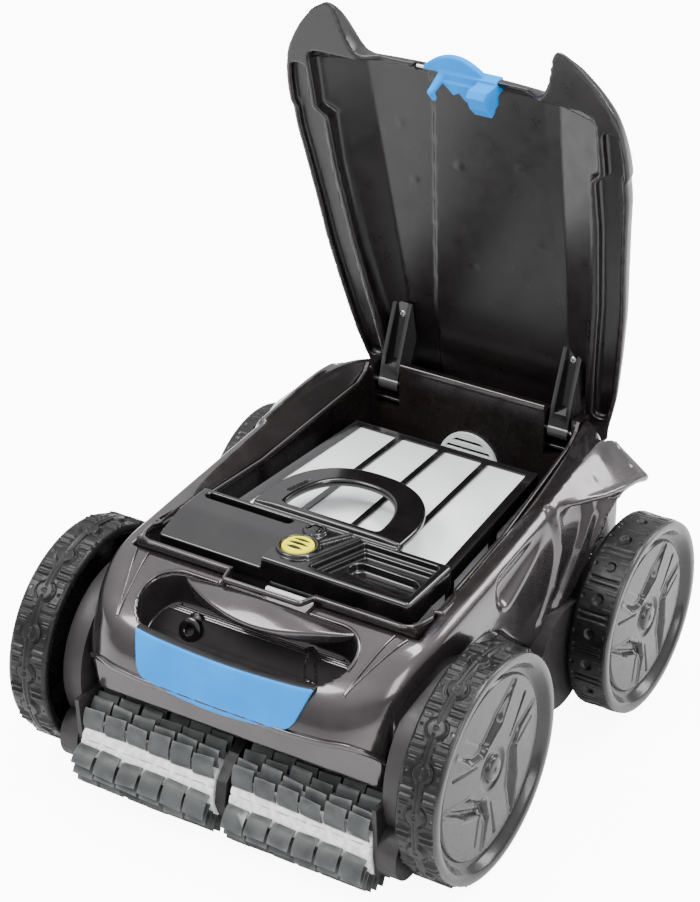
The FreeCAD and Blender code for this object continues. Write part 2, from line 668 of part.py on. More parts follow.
LID_LEVELS = [
    (216, 0.1, [(0, -15), (84, -15), (97, -23), (105, -32), (112, -47), (107, -66), (128, -56),
                (145, -40), (158, -20), (162, 0), (161, 50), (150, 75), (144, 100), (139, 150),
                (134, 200), (131, 250), (130, 300), (124, 343), (98, 360), (0, 364)]),
    (230, 0.085, [(0, -14), (84, -14), (97, -20), (105, -28), (112, -40), (110, -52), (127, -45),
                  (143, -30), (156, -12), (165, 6), (168, 50), (164, 80), (162, 105), (158, 150),
                  (154, 200), (147, 250), (139, 300), (129, 340), (100, 357), (0, 361)]),
    (246, 0.06, [(0, -9), (82, -9), (94, -10), (102, -13), (109, -18), (113, -22), (123, -20),
                 (135, -12), (146, 2), (153, 18), (158, 55), (156, 82), (153, 106), (148, 150),
                 (143, 200), (136, 250), (128, 300), (117, 332), (92, 347), (0, 350)]),
    (259, 0.035, [(0, 22), (60, 24), (70, 26), (78, 28), (85, 31), (90, 34), (97, 38), (104, 44),
                  (110, 52), (115, 62), (120, 80), (121, 98), (120, 118), (117, 155), (113, 200),
                  (107, 245), (99, 280), (88, 305), (70, 318), (0, 322)]),
]


def lid_form(inset):
    """The lid's dome, made smaller all round by so many millimetres."""
    scale_x = 1 - inset / 150.0
    scale_y = 1 - inset / 210.0
    middle_y = 150.0
    wires = []
    for z0, slope, half in LID_LEVELS:
        points = []
        for x, y in whole_outline(half):
            points.append(Vector(x * scale_x, middle_y + (y - middle_y) * scale_y, z0 + slope * y - inset))
        wires.append(polygon(points))
    return Part.makeLoft(wires, True, True)


def opened(shape):
    turned = shape.copy()
    turned.rotate(Vector(0, HINGE_Y, HINGE_Z), Vector(1, 0, 0), -LID_OPEN_DEG)
    return turned


def lid_shell():
    shell = lid_form(0).cut(lid_form(3.0))
    front_edge = box(-92, 92, -40, 10, 180, 228)
    latch_slot = box(-41, 41, -40, -1, 180, 239.6)
    return shell.cut([front_edge, latch_slot])


def liner_z(y):
    return LINER_Z + LINER_SLOPE * y


def lid_liner():
    half = [(0, -5), (84, -5), (110, 2), (136, 12), (150, 40), (150, 100), (146, 150), (141, 200),
            (134, 250), (126, 300), (112, 325), (0, 328)]
    y0, y1 = -10.0, 335.0
    slab = prism_x([(y0, liner_z(y0)), (y1, liner_z(y1)), (y1, liner_z(y1) + LINER_WALL),
                    (y0, liner_z(y0) + LINER_WALL)], -160, 160)
    return slab.common(prism_z(whole_outline(half), 200, 300)).common(lid_form(3.1))


def hinge_arm():
    """U-channel arm from the hinge pin up to the lid's inner panel."""
    side = [(331, 223), (312, 231), (266, 258), (266, liner_z(266)), (306, liner_z(306)), (330, 247),
            (344, 233)]
    arm = joined(prism_x(side, ARM_X0, ARM_X1), rod_x(7.5, ARM_X0, ARM_X1, HINGE_Y, HINGE_Z))
    channel = prism_x([(324, 215), (316, 238), (280, 256), (255, 262), (255, 215)], ARM_X0 + 4, ARM_X1 - 4)
    return arm.cut([channel, rod_x(HINGE_PIN_R + RUNNING_GAP, 70, 110, HINGE_Y, HINGE_Z)])


def hinge_pins():
    return both(rod_x(HINGE_PIN_R, 74, 108, HINGE_Y, HINGE_Z))


LATCH_PIVOT = (-10.0, 234.0)


def lid_latch():
    """Snap latch that turns on the lid's front edge: a tab, a block and two hooked legs."""
    y, z = LATCH_PIVOT
    block = prism_x([(-15, 229), (-2, 229), (-2, 238), (-6, 239), (-14, 239)], -38, 38)
    tab = prism_x([(-33, 226), (-30, 224), (-14.9, 229), (-14.9, 234), (-31, 231)], -26, 26)
    legs = []
    for x0 in (-36, 24):
        legs.append(prism_x([(-18, 200), (-14, 200), (-11, 229.5), (-15, 229.5)], x0, x0 + 12))
        legs.append(prism_x([(-21, 203), (-18, 200), (-17, 200), (-17, 204.4), (-21, 204.4)], x0, x0 + 12))
    latch = joined(block, tab, *legs)
    return latch.cut(rod_x(1.6, -45, 45, y, z))


def latch_spring():
    """Pivot rod of the latch, with its leaf spring behind."""
    y, z = LATCH_PIVOT
    rod = rod_x(1.5, -40, 40, y, z)
    leaf = box(-10, 10, 0, 0.6, 229, liner_z(0))
    return [rod, leaf]


# ---- filter ----

def filter_half(y, inset=0.0):
    along = (y - FILTER_Y0) / (FILTER_Y1 - FILTER_Y0)
    return FILTER_HALF_FRONT + (FILTER_HALF_REAR - FILTER_HALF_FRONT) * along - inset


def filter_block(inset, z0, z1):
    y0, y1 = FILTER_Y0 + inset, FILTER_Y1 - inset
    x0, x1 = filter_half(y0, inset), filter_half(y1, inset)
    return prism_z([(-x0, y0), (x0, y0), (x1, y1), (-x1, y1)], z0, z1)


def filter_frame():
    """Open frame of the filter basket, as a floor, four walls and a ribbed top that meet face to face."""
    wall, top = FILTER_WALL, FILTER_TOP
    shell = filter_block(0, FILTER_Z0, FILTER_Z1).cut(filter_block(wall, FILTER_Z0 + wall, FILTER_Z1 - top))
    cuts = [box(-54, 54, 24, 58, 100, FILTER_Z0 + wall + 1)]
    y0, y1 = 82.0, FILTER_Y1 - 7
    for bay in range(4):
        low, high = bay / 4, (bay + 1) / 4
        corners = []
        for y, share, side in ((y0, low, 1), (y0, high, -1), (y1, high, -1), (y1, low, 1)):
            width = 2 * filter_half(y, 6)
            corners.append((-filter_half(y, 6) + width * share + side * 3, y))
        cuts.append(prism_z(corners, FILTER_Z1 - 5, FILTER_Z1 + 1))
    for y in (20, 108, 196):
        cuts.append(box(-200, 200, y, y + 76, FILTER_Z0 + 12, FILTER_Z1 - 14))
    for x in (-84, -26, 32):
        cuts.append(box(x, x + 50, 0, 300, FILTER_Z0 + 12, FILTER_Z1 - 14))
    frame = shell.cut(cuts)
    z0, z1, y0, y1 = FILTER_Z0 + wall, FILTER_Z1 - top, FILTER_Y0 + wall, FILTER_Y1 - wall
    regions = around_hole(-54, 54, 24, 58, 0, z0) + [span(z0=z1), span(y1=y0, z0=z0, z1=z1)]
    regions += [span(y0=y1, z0=z0, z1=z1)] + both(span(x0=0, y0=y0, y1=y1, z0=z0, z1=z1))
    return [frame.common(region) for region in regions]


def filter_mesh():
    """Five flat mesh panels that line the frame: the top and the four sides."""
    z0, z1, thick = FILTER_Z0 + 4, FILTER_Z1 - 2, 1.2
    top = filter_block(3.0, z1 - thick, z1)
    walls = filter_block(3.0, z0, z1 - thick).cut(filter_block(3.0 + thick, z0 - 1, z1))
    inner = FILTER_Y0 + 3.0 + thick
    outer = FILTER_Y1 - 3.0 - thick
    front = walls.common(box(-200, 200, 0, inner, z0, z1))
    rear = walls.common(box(-200, 200, outer, 400, z0, z1))
    right = walls.common(box(0, 200, inner, outer, z0, z1))
    return [top, front, rear, right, mirrored(right)]


def filter_cover():
    """Bar across the front of the filter: a raised plate, a recessed tray and a ring for the button."""
    side = [(5, FILTER_Z1), (77, FILTER_Z1), (77, 228), (72, 232), (10, 232), (5, 226)]
    bar = prism_x(side, -125, 125)
    plate = prism_x([(12, 231), (66, 231), (62, COVER_Z1), (16, COVER_Z1)], -122, -30)
    ring = rod_z(19, FILTER_Z1, 236, 0, BUTTON_Y)
    bar = joined(bar, plate, ring)
    cuts = [box(-108, -42, 52, 57, 229, 240), box(40, 116, 16, 66, 226, 240),
            rod_z(BUTTON_R + 0.5, 224, 240, 0, BUTTON_Y), rod_z(17.2, 213, 225, 0, BUTTON_Y)]
    return bar.cut(cuts)


def filter_handle():
    """D-shaped carrying loop behind the cover."""
    outer = [(74, 77), (74, 100), (66, 132), (48, 156), (24, 168), (0, 171)]
    inner = [(48, 86), (48, 100), (42, 122), (30, 137), (14, 145), (0, 147)]
    loop = prism_z(whole_outline(outer[::-1]), 232, 239)
    loop = loop.cut(prism_z(whole_outline(inner[::-1]), 230, 241))
    foot = box(-74, 74, 77, 82, 222, 233)
    return joined(loop, foot)


def release_button():
    cap = rod_z(BUTTON_R, 225, 238.5, 0, BUTTON_Y)
    flange = rod_z(16.6, 221.5, 224.5, 0, BUTTON_Y)
    slots = [box(-9, 9, BUTTON_Y - 7.5 + 6 * n, BUTTON_Y - 5.5 + 6 * n, 236.5, 240) for n in range(3)]
    return joined(cap, rod_z(14, 223, 226, 0, BUTTON_Y), flange).cut(slots)


def button_spring():
    """Coils of the spring under the button."""
    return [Part.makeTorus(11, 0.6, Vector(0, BUTTON_Y, 213.7 + 1.4 * n), Vector(0, 0, 1))
            for n in range(6)]


def intake_flap():
    z = FILTER_Z0 + 3.5
    flap = box(-56, 56, 22, 60, z, z + 2)
    return joined(flap, rod_x(2, -56, 56, 22, z + 2))


# ---- build and save ----

def save_all():
    for name, side in SIDES.items():
        save_gears(name, side)
        save_wheels(name, side)
        save("side_cover_" + name, on_side(side_cover(), side))
        save("brush_core_" + name, on_side(brush_core(), side))
        save("brush_fins_" + name, on_side(brush_fins(), side))
    save("gear_axles", *gear_axles())
    save("brush_hanger", brush_hanger())
    save("base_chassis", base_chassis())
    save("body_shell", *shell_mouldings(body_shell_solid))
    save("filter_bay", *bay_mouldings(filter_bay()))
    save("front_trim", front_trim())
    save("handle_grip", handle_grip())
    save("cable_gland", cable_gland())
    save("motor_housing", motor_housing())
    save("motor_housing_cap", motor_housing_cap())
    save("drive_motors", *drive_motors())
    save("pump_motor", pump_motor())
    save("impeller", impeller())
    save("pump_screen", pump_screen())
    save("outlet_grille", outlet_grille())
    save("lid_shell", opened(lid_shell()))
    save("lid_liner", opened(lid_liner()))
    save("hinge_arms", *[opened(arm) for arm in both(hinge_arm())])
    save("hinge_pins", *hinge_pins())
    save("lid_latch", opened(lid_latch()))
    save("latch_spring", *[opened(piece) for piece in latch_spring()])
    save("filter_frame", *filter_frame())
    save("filter_mesh", *filter_mesh())
    save("filter_cover", filter_cover())
    save("filter_handle", filter_handle())
    save("release_button", release_button())
    save("button_spring", *button_spring())
    save("intake_flap", intake_flap())


os.makedirs("parts", exist_ok=True)
body_shell_solid = body_shell()
save_all()
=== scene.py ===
import json
import math

import bpy
import numpy as np
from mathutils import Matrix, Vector


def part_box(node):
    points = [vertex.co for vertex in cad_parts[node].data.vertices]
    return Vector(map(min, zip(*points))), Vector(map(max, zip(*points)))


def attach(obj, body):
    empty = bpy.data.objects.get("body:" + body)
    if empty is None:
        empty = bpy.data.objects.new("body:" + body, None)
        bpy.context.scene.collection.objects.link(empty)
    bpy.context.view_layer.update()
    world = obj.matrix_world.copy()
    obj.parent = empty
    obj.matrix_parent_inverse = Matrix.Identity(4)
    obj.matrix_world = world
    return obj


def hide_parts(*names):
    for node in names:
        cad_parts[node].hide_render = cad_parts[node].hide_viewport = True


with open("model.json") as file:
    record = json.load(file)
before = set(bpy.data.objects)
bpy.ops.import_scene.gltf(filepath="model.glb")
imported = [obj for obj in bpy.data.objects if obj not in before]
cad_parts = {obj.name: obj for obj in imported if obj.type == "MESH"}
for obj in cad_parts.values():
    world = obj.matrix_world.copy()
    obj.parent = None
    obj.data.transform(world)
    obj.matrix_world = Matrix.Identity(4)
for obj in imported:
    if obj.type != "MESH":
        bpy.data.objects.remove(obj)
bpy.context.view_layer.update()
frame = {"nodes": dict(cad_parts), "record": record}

# Lengths in this script are millimetres from the front axle: +x is the machine's right, -y its
# front and z is height above the floor. metres() puts them in the frame.
HUB_LOW, HUB_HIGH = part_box("hubcap_front_right")
AXLE_Y = (HUB_LOW.y + HUB_HIGH.y) / 2
FRONT_R = (HUB_LOW.z + HUB_HIGH.z) / 2 * 1000
REAR_LOW, REAR_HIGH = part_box("hubcap_rear_right")
WHEELBASE = ((REAR_LOW.y + REAR_HIGH.y) / 2 - AXLE_Y) * 1000
REAR_R = (REAR_LOW.z + REAR_HIGH.z) / 2 * 1000
HINGE_Y, HINGE_Z, LID_OPEN = 338.0, 228.0, math.radians(81.4)
BUTTON_Y = 33.0  # the round button's centre
WALL = 7.0  # thickness of the body moulding
SIDES = (("right", 1), ("left", -1))


def metres(points):
    moved = np.asarray(points, float) / 1000
    moved[..., 1] += AXLE_Y
    return moved


def opened(points):
    """Points of the lid drawn closed, turned to where the lid stands open."""
    p = np.asarray(points, float)
    dy, dz = p[..., 1] - HINGE_Y, p[..., 2] - HINGE_Z
    c, s = math.cos(LID_OPEN), math.sin(LID_OPEN)
    return np.stack([p[..., 0], HINGE_Y + dy * c + dz * s, HINGE_Z + dz * c - dy * s], -1)


# ---- soft steps and distances, all in mm ----

def step(low, high, x):
    t = np.clip((x - low) / (high - low), 0, 1)
    return t * t * (3 - 2 * t)


def smin(a, b, r):
    h = np.clip(0.5 + 0.5 * (b - a) / r, 0, 1)
    return b + (a - b) * h - r * h * (1 - h)


def smax(a, b, r):
    return -smin(-a, -b, r)


def capsule(u, v, a, b, ra, rb):
    """Distance in a plane to a bar from a to b whose half-width goes from ra to rb."""
    ax, ay, bx, by = *a, *b
    t = np.clip(((u - ax) * (bx - ax) + (v - ay) * (by - ay)) / ((bx - ax) ** 2 + (by - ay) ** 2), 0, 1)
    return np.hypot(u - ax - t * (bx - ax), v - ay - t * (by - ay)) - (ra + (rb - ra) * t)


def rounded_box(x, y, z, low, high, r):
    q = [np.abs(c - (a + b) / 2) - (b - a) / 2 + r for c, a, b in zip((x, y, z), low, high)]
    outside = np.sqrt(sum(np.maximum(c, 0) ** 2 for c in q))
    return outside + np.minimum(np.maximum(np.maximum(q[0], q[1]), q[2]), 0) - r


def rounded_rect(u, v, low, high, r):
    q = [np.abs(c - (a + b) / 2) - (b - a) / 2 + r for c, a, b in zip((u, v), low, high)]
    return np.hypot(np.maximum(q[0], 0), np.maximum(q[1], 0)) + np.minimum(np.maximum(q[0], q[1]), 0) - r


def polygon_distance(u, v, points):
    """Signed distance to a closed polygon; a corner may be a number or an array over the samples."""
    best = np.full(np.shape(u), 1e9)
    inside = np.zeros(np.shape(u), bool)
    for (ax, ay), (bx, by) in zip(points, points[1:] + points[:1]):
        ex, ey, wx, wy = bx - ax, by - ay, u - ax, v - ay
        t = np.clip((wx * ex + wy * ey) / np.maximum(ex * ex + ey * ey, 1e-9), 0, 1)
        best = np.minimum(best, (wx - t * ex) ** 2 + (wy - t * ey) ** 2)
        crosses = (ay > v) != (by > v)
        rise = np.where(np.abs(ey) < 1e-9, 1e-9, ey)
        inside ^= crosses & (u < ax + (v - ay) * ex / rise)
    return np.where(inside, -1, 1) * np.sqrt(best)


# ---- meshes ----

def piece(name, points, faces, body, material, flat=None):
    """A mesh piece from points in the frame's metres. flat is the angle above which edges stay crisp."""
    mesh = bpy.data.meshes.new(name)
    mesh.from_pydata(np.asarray(points).reshape(-1, 3).tolist(), [], faces)
    mesh.validate()
    mesh.update()
    mesh.shade_smooth()
    if flat:
        mesh.set_sharp_from_angle(angle=math.radians(flat))
    made = bpy.data.objects.new(name, mesh)
    bpy.context.scene.collection.objects.link(made)
    made.data.materials.append(material)
    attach(made, body)
    return made


def grid_faces(rows, columns, wrap_rows=False, wrap_columns=False):
    r = np.arange(rows if wrap_rows else rows - 1)[:, None]
    c = np.arange(columns if wrap_columns else columns - 1)[None, :]
    r2, c2 = (r + 1) % rows, (c + 1) % columns
    quads = np.stack([r * columns + c, r * columns + c2, r2 * columns + c2, r2 * columns + c], -1)
    return quads.reshape(-1, 4).tolist()


def outward(mesh_object):
    """Turns all faces outwards by the sign of the enclosed volume."""
    mesh = mesh_object.data
    mesh.calc_loop_triangles()
    v = np.array([w.co for w in mesh.vertices])
    t = np.array([k.vertices for k in mesh.loop_triangles])
    if np.einsum("ij,ij->i", v[t[:, 0]], np.cross(v[t[:, 1]], v[t[:, 2]])).sum() < 0:
        mesh.flip_normals()
    return mesh_object


def sampled(field, low, size, step_mm):
    """Values of field on a grid. Blocks that the surface can't reach are filled from their middle."""
    block = 20
    values = np.empty(size, np.float32)
    for i in range(0, size[0], block):
        for j in range(0, size[1], block):
            for k in range(0, size[2], block):
                ends = [min(a + block, n) for a, n in zip((i, j, k), size)]
                axes = [low[a] + np.arange(s, e) * step_mm for a, (s, e) in enumerate(zip((i, j, k), ends))]
                middle = [np.array([(c[0] + c[-1]) / 2]) for c in axes]
                centre = float(field(*middle)[0])
                if abs(centre) > block * step_mm * 1.35:
                    values[i:ends[0], j:ends[1], k:ends[2]] = centre
                else:
                    x, y, z = np.meshgrid(*axes, indexing="ij")
                    values[i:ends[0], j:ends[1], k:ends[2]] = field(x, y, z)
    return values


def skin(field, low, high, step_mm, passes=2):
    """Points and quads of the surface field(x, y, z) = 0 inside a box, in mm."""
    low = np.array(low, float)
    size = tuple(np.ceil((np.array(high) - low) / step_mm).astype(int) + 1)
    values = sampled(field, low, size, step_mm)
    inside = values < 0
    corners = [(a, b, c) for a in (0, 1) for b in (0, 1) for c in (0, 1)]

    def corner(array, o):
        return array[o[0]:size[0] - 1 + o[0], o[1]:size[1] - 1 + o[1], o[2]:size[2] - 1 + o[2]]
    count = sum(corner(inside, o).astype(np.int8) for o in corners)
    active = (count > 0) & (count < 8)
    cells = np.argwhere(active)
    index = np.full(active.shape, -1, np.int64)
    index[tuple(cells.T)] = np.arange(len(cells))
    total, hits = np.zeros((len(cells), 3)), np.zeros(len(cells))
    for a in corners:
        for axis in range(3):
            if a[axis]:
                continue
            b = list(a)
            b[axis] = 1
            va = corner(values, a)[active].astype(float)
            vb = corner(values, b)[active].astype(float)
            cut = (va < 0) != (vb < 0)
            share = np.where(cut, va / np.where(cut, va - vb, 1), 0)
            spot = np.array(a, float)[None, :] + share[:, None] * (np.array(b, float) - np.array(a, float))
            total[cut] += spot[cut]
            hits[cut] += 1
    points = low + (cells + total / hits[:, None]) * step_mm
    quads = []
    for axis in range(3):
        u, w = [a for a in range(3) if a != axis]
        ahead = np.take(inside, range(1, size[axis]), axis)
        behind = np.take(inside, range(size[axis] - 1), axis)
        for flip, crossing in ((False, behind & ~ahead), (True, ahead & ~behind)):
            at = np.argwhere(crossing)
            at = at[(at[:, u] > 0) & (at[:, w] > 0) & (at[:, u] < size[u] - 1) & (at[:, w] < size[w] - 1)]
            ring = []
            for du, dw in ((-1, -1), (0, -1), (0, 0), (-1, 0)):
                cell = at.copy()
                cell[:, u] += du
                cell[:, w] += dw
                ring.append(index[tuple(cell.T)])
            ring = np.stack(ring, -1)
            quads.append(ring[:, ::-1] if flip != (axis == 1) else ring)
    quads = np.concatenate(quads)
    quads = quads[(quads >= 0).all(1)]
    edges = np.concatenate([quads[:, [n, (n + 1) % 4]] for n in range(4)])
    for _ in range(passes):
        near, number = np.zeros_like(points), np.zeros(len(points))
        for a, b in ((0, 1), (1, 0)):
            np.add.at(near, edges[:, a], points[edges[:, b]])
            np.add.at(number, edges[:, a], 1)
        points = 0.5 * points + 0.5 * near / np.maximum(number, 1)[:, None]
        for _ in range(2):
            points = pulled(field, points, step_mm)
    return points, quads


def pulled(field, points, step_mm):
    """Points moved onto the surface along the field's slope, by less than a step."""
    x, y, z = points.T
    e = 0.05
    d = field(x, y, z)
    g = np.stack([field(x + e, y, z) - d, field(x, y + e, z) - d, field(x, y, z + e) - d], -1) / e
    move = -(d / np.maximum((g * g).sum(1), 0.05))[:, None] * g
    length = np.linalg.norm(move, axis=1, keepdims=True)
    return points + move * np.minimum(1, 0.6 * step_mm / np.maximum(length, 1e-6))


def moulded(name, field, low, high, step_mm, body, material, passes=2, lid=False):
    """A piece whose surface is where field is 0."""
    points, quads = skin(field, low, high, step_mm, passes)
    points = metres(opened(points) if lid else points)
    return outward(piece(name, points, quads.tolist(), body, material))


# ---- materials ----

def material(name, dark, light, rough, spread=0.06, blotch=25.0, grain=900.0, bump=0.05, metallic=0.0,
             coat=0.0, coat_rough=0.05, edge=None, sheen=0.0, specular=0.5, wave=None):
    """A procedural finish: colour between dark and light in soft blotches, uneven gloss and fine grain. Given
    an edge colour, it also paints a highlight in that colour on sharp convex edges.
    """
    made = bpy.data.materials.new(name)
    made.use_nodes = True
    nodes, links = made.node_tree.nodes, made.node_tree.links
    shader = nodes["Principled BSDF"]
    shader.inputs["Metallic"].default_value = metallic
    shader.inputs["Coat Weight"].default_value = coat
    shader.inputs["Coat Roughness"].default_value = coat_rough
    shader.inputs["Sheen Weight"].default_value = sheen
    shader.inputs["Specular IOR Level"].default_value = specular
    where = nodes.new("ShaderNodeTexCoord")

    def noise(scale, detail):
        n = nodes.new("ShaderNodeTexNoise")
        n.inputs["Scale"].default_value = scale
        n.inputs["Detail"].default_value = detail
        links.new(where.outputs["Object"], n.inputs["Vector"])
        return n.outputs["Fac"]
    ramp = nodes.new("ShaderNodeValToRGB")
    ramp.color_ramp.elements[0].position, ramp.color_ramp.elements[1].position = 0.35, 0.65
    ramp.color_ramp.elements[0].color = (*dark, 1)
    ramp.color_ramp.elements[1].color = (*light, 1)
    links.new(noise(blotch, 3), ramp.inputs["Fac"])
    colour = ramp.outputs["Color"]
    if edge:
        # Painted highlight: the lighter edge colour is mixed in where the mesh is pointy, on convex edges,
        # where light would catch them.
        geometry = nodes.new("ShaderNodeNewGeometry")
        painted_edge_highlight = nodes.new("ShaderNodeMapRange")
        painted_edge_highlight.inputs["From Min"].default_value = 0.54
        painted_edge_highlight.inputs["From Max"].default_value = 0.66
        painted_edge_highlight.inputs["To Max"].default_value = 0.55
        links.new(geometry.outputs["Pointiness"], painted_edge_highlight.inputs["Value"])
        mix = nodes.new("ShaderNodeMix")
        mix.data_type = "RGBA"
        links.new(painted_edge_highlight.outputs["Result"], mix.inputs[0])
        links.new(colour, mix.inputs[6])
        mix.inputs[7].default_value = (*edge, 1)
        colour = mix.outputs[2]
    links.new(colour, shader.inputs["Base Color"])
    gloss = nodes.new("ShaderNodeMapRange")
    gloss.inputs["From Min"].default_value, gloss.inputs["From Max"].default_value = 0.3, 0.7
    gloss.inputs["To Min"].default_value = max(rough - spread, 0.02)
    gloss.inputs["To Max"].default_value = rough + spread
    links.new(noise(blotch * 4, 4), gloss.inputs["Value"])
    links.new(gloss.outputs["Result"], shader.inputs["Roughness"])
    relief = nodes.new("ShaderNodeBump")
    relief.inputs["Strength"].default_value = bump
    relief.inputs["Distance"].default_value = 0.0004
    height = noise(grain, 2)
    if wave:
        height = woven(nodes, links, where, wave)
    links.new(height, relief.inputs["Height"])
    links.new(relief.outputs["Normal"], shader.inputs["Normal"])
    return made


def woven(nodes, links, where, pitch):
    """Height of a fine plain weave whose threads run along x and y."""
    parts = []
    for direction in ("X", "Y"):
        wave = nodes.new("ShaderNodeTexWave")
        wave.bands_direction = direction
        wave.inputs["Scale"].default_value = 0.314 / pitch
        links.new(where.outputs["Object"], wave.inputs["Vector"])
        parts.append(wave.outputs["Fac"])
    both = nodes.new("ShaderNodeMath")
    both.operation = "MULTIPLY"
    links.new(parts[0], both.inputs[0])
    links.new(parts[1], both.inputs[1])
    return both.outputs[0]


BODY_GREY = material("body_grey", (0.046, 0.040, 0.040), (0.062, 0.054, 0.054), 0.2, 0.04, 18, 1400, 0.006,
                     metallic=0.75, coat=0.6, coat_rough=0.06, edge=(0.14, 0.13, 0.13))
LID_GREY = material("lid_grey", (0.0035, 0.0024, 0.0024), (0.0055, 0.004, 0.004), 0.32, 0.05, 14, 1200, 0.05,
                    coat=0.12, coat_rough=0.15, specular=0.35, edge=(0.08, 0.07, 0.07))
BLACK_GLOSS = material("black_gloss", (0.003, 0.0026, 0.0026), (0.006, 0.0052, 0.0052), 0.16, 0.05, 30, 1500,
                       0.03, coat=0.25, specular=0.4, edge=(0.08, 0.075, 0.075))
BLACK_MATT = material("black_matt", (0.003, 0.0027, 0.0027), (0.007, 0.0063, 0.0063), 0.42, 0.08, 40, 1800,
                      0.18, specular=0.25, edge=(0.06, 0.055, 0.055))
BAY_DARK = material("bay_dark", (0.005, 0.0036, 0.0036), (0.010, 0.0075, 0.0075), 0.26, 0.06, 22, 1200, 0.06,
                    coat=0.15, coat_rough=0.12, specular=0.35)
TYRE = material("tyre_rubber", (0.003, 0.0027, 0.0027), (0.007, 0.0064, 0.0064), 0.36, 0.08, 45, 1500, 0.16,
                specular=0.28, edge=(0.05, 0.046, 0.046))
WHEEL_GREY = material("wheel_grey", (0.011, 0.010, 0.0098), (0.018, 0.0163, 0.016), 0.26, 0.05, 20, 1500,
                      0.012, metallic=0.2, coat=0.2, coat_rough=0.1, specular=0.35, edge=(0.35, 0.33, 0.33))
BLUE = material("blue", (0.0, 0.185, 0.56), (0.0, 0.215, 0.63), 0.5, 0.05, 25, 1600, 0.05, coat=0.0,
                coat_rough=0.2, specular=0.05, edge=(0.02, 0.36, 0.8))
YELLOW = material("yellow", (0.66, 0.60, 0.0), (0.72, 0.66, 0.0), 0.35, 0.05, 60, 1500, 0.05, coat=0.0,
                  specular=0.15)
MESH_WHITE = material("mesh_white", (0.68, 0.69, 0.69), (0.80, 0.81, 0.81), 0.62, 0.06, 16, 900, 0.5,
                      sheen=0.3, wave=0.0012)
ROLLER_WHITE = material("roller_white", (0.52, 0.52, 0.52), (0.78, 0.78, 0.78), 0.5, 0.1, 180, 700, 0.3)
FIN_GREY = material("fin_grey", (0.034, 0.037, 0.036), (0.062, 0.066, 0.064), 0.46, 0.08, 60, 1300, 0.25,
                    specular=0.3, edge=(0.42, 0.43, 0.42))
GEAR = material("gear_plastic", (0.55, 0.54, 0.50), (0.62, 0.61, 0.57), 0.4, 0.06, 60, 1300, 0.1)
STEEL = material("steel", (0.42, 0.42, 0.42), (0.55, 0.55, 0.55), 0.28, 0.1, 90, 1800, 0.1, metallic=1.0)
MOTOR = material("motor_metal", (0.20, 0.20, 0.21), (0.28, 0.28, 0.29), 0.4, 0.1, 60, 1500, 0.1, metallic=0.9)
# Painted shade: dark, dull finish for the sheet that darkens the recess floor.
RECESS_PAINTED_SHADE = material("recess_painted_shade", (0.010, 0.0086, 0.0086), (0.016, 0.014, 0.014), 0.6, 0.06, 30, 1200,
                       0.05, specular=0.1)
SCREEN = material("screen_white", (0.60, 0.61, 0.61), (0.72, 0.73, 0.73), 0.5, 0.08, 60, 900, 0.3)
FINISHES = {"body_grey": BODY_GREY, "lid_grey": LID_GREY, "black_gloss": BLACK_GLOSS,
            "black_matt": BLACK_MATT, "bay_dark": BAY_DARK, "tyre_rubber": TYRE, "wheel_grey": WHEEL_GREY,
            "blue": BLUE, "yellow": YELLOW, "mesh_white": MESH_WHITE, "roller_white": ROLLER_WHITE,
            "fin_grey": FIN_GREY, "gear_plastic": GEAR, "steel": STEEL, "motor_metal": MOTOR,
            "screen_white": SCREEN}


def finish_cad_nodes():
    """Gives every CAD node the procedural finish of the record slot that it was packed with."""
    for row in frame["record"]["subparts"]:
        slots = frame["nodes"][row["node"]].material_slots
        for n in range(len(slots)):
            slots[n].material = FINISHES[row["material_slot"]]


# ---- tyres and wheels ----

def wheel_points(side, axle_y, radius, x, r, turn):
    """Points at distance r from a wheel's axle; turn 0 faces rearwards and 90 degrees up."""
    return metres(np.stack([side * x, axle_y + r * np.cos(turn), radius + r * np.sin(turn)], -1))


def bars(u, centre, spacing, half):
    """1 on two bars either side of centre, in mm along the tread."""
    a = np.abs(np.abs(u - centre) - spacing)
    return 1 - step(half - 0.4, half + 0.4, a)


def front_tread(s, w, pitch):
    """Height of the front tread, mm, at s along it and w across it from its middle."""
    s = (s + pitch * 0.264) % pitch - pitch / 2
    ring = np.hypot(s, w)
    band = 1 - step(2.6, 3.4, np.abs(w))
    disc = 1 - step(7.8, 8.8, ring)
    moat = (1 - step(9.8, 10.8, ring)) * (1 - np.maximum(band, disc))
    line = (1 - step(0.5, 1.1, np.abs(w))) * step(4, 5, ring)
    pip = 1 - step(1.6, 2.4, ring)
    half_s = np.abs(s)
    lugs = bars(half_s, pitch / 2, 3.4, 1.5) * step(4.4, 5.4, np.abs(w)) * (1 - step(16.5, 18, np.abs(w)))
    dots = 1 - step(0.9, 1.7, np.hypot(s, np.abs(w) - 14.5))
    ribs = bars(half_s, pitch / 2 - 9.5, 1.3, 0.6) * step(8, 9, np.abs(w)) * (1 - step(15.5, 16.5, np.abs(w)))
    raised = 2.2 * np.maximum(band, disc) + 2.2 * lugs + 0.9 * ribs + 1.3 * pip
    return np.minimum(raised, 2.35) - 1.1 * moat - 1.2 * line - 1.2 * dots - 1.5 * pip * step(0.8, 1.6, ring)


def rear_tread(s, w, pitch):
    s = (s + pitch * 0.3) % pitch - pitch / 2
    pit = 1 - step(3.8, 5.0, np.hypot(s, w))
    half_s = np.abs(s)
    grooves = bars(half_s, pitch / 2, 3.0, 0.8) * (1 - step(13, 15, np.abs(w)))
    fine = bars(half_s, pitch / 2 - 7.5, 1.2, 0.4) * step(6, 7, np.abs(w)) * (1 - step(15, 16, np.abs(w)))
    dots = 1 - step(0.9, 1.7, np.hypot(s, np.abs(w) - 14.5))
    return -2.4 * pit - 1.4 * grooves + 0.5 * fine - 1.0 * dots


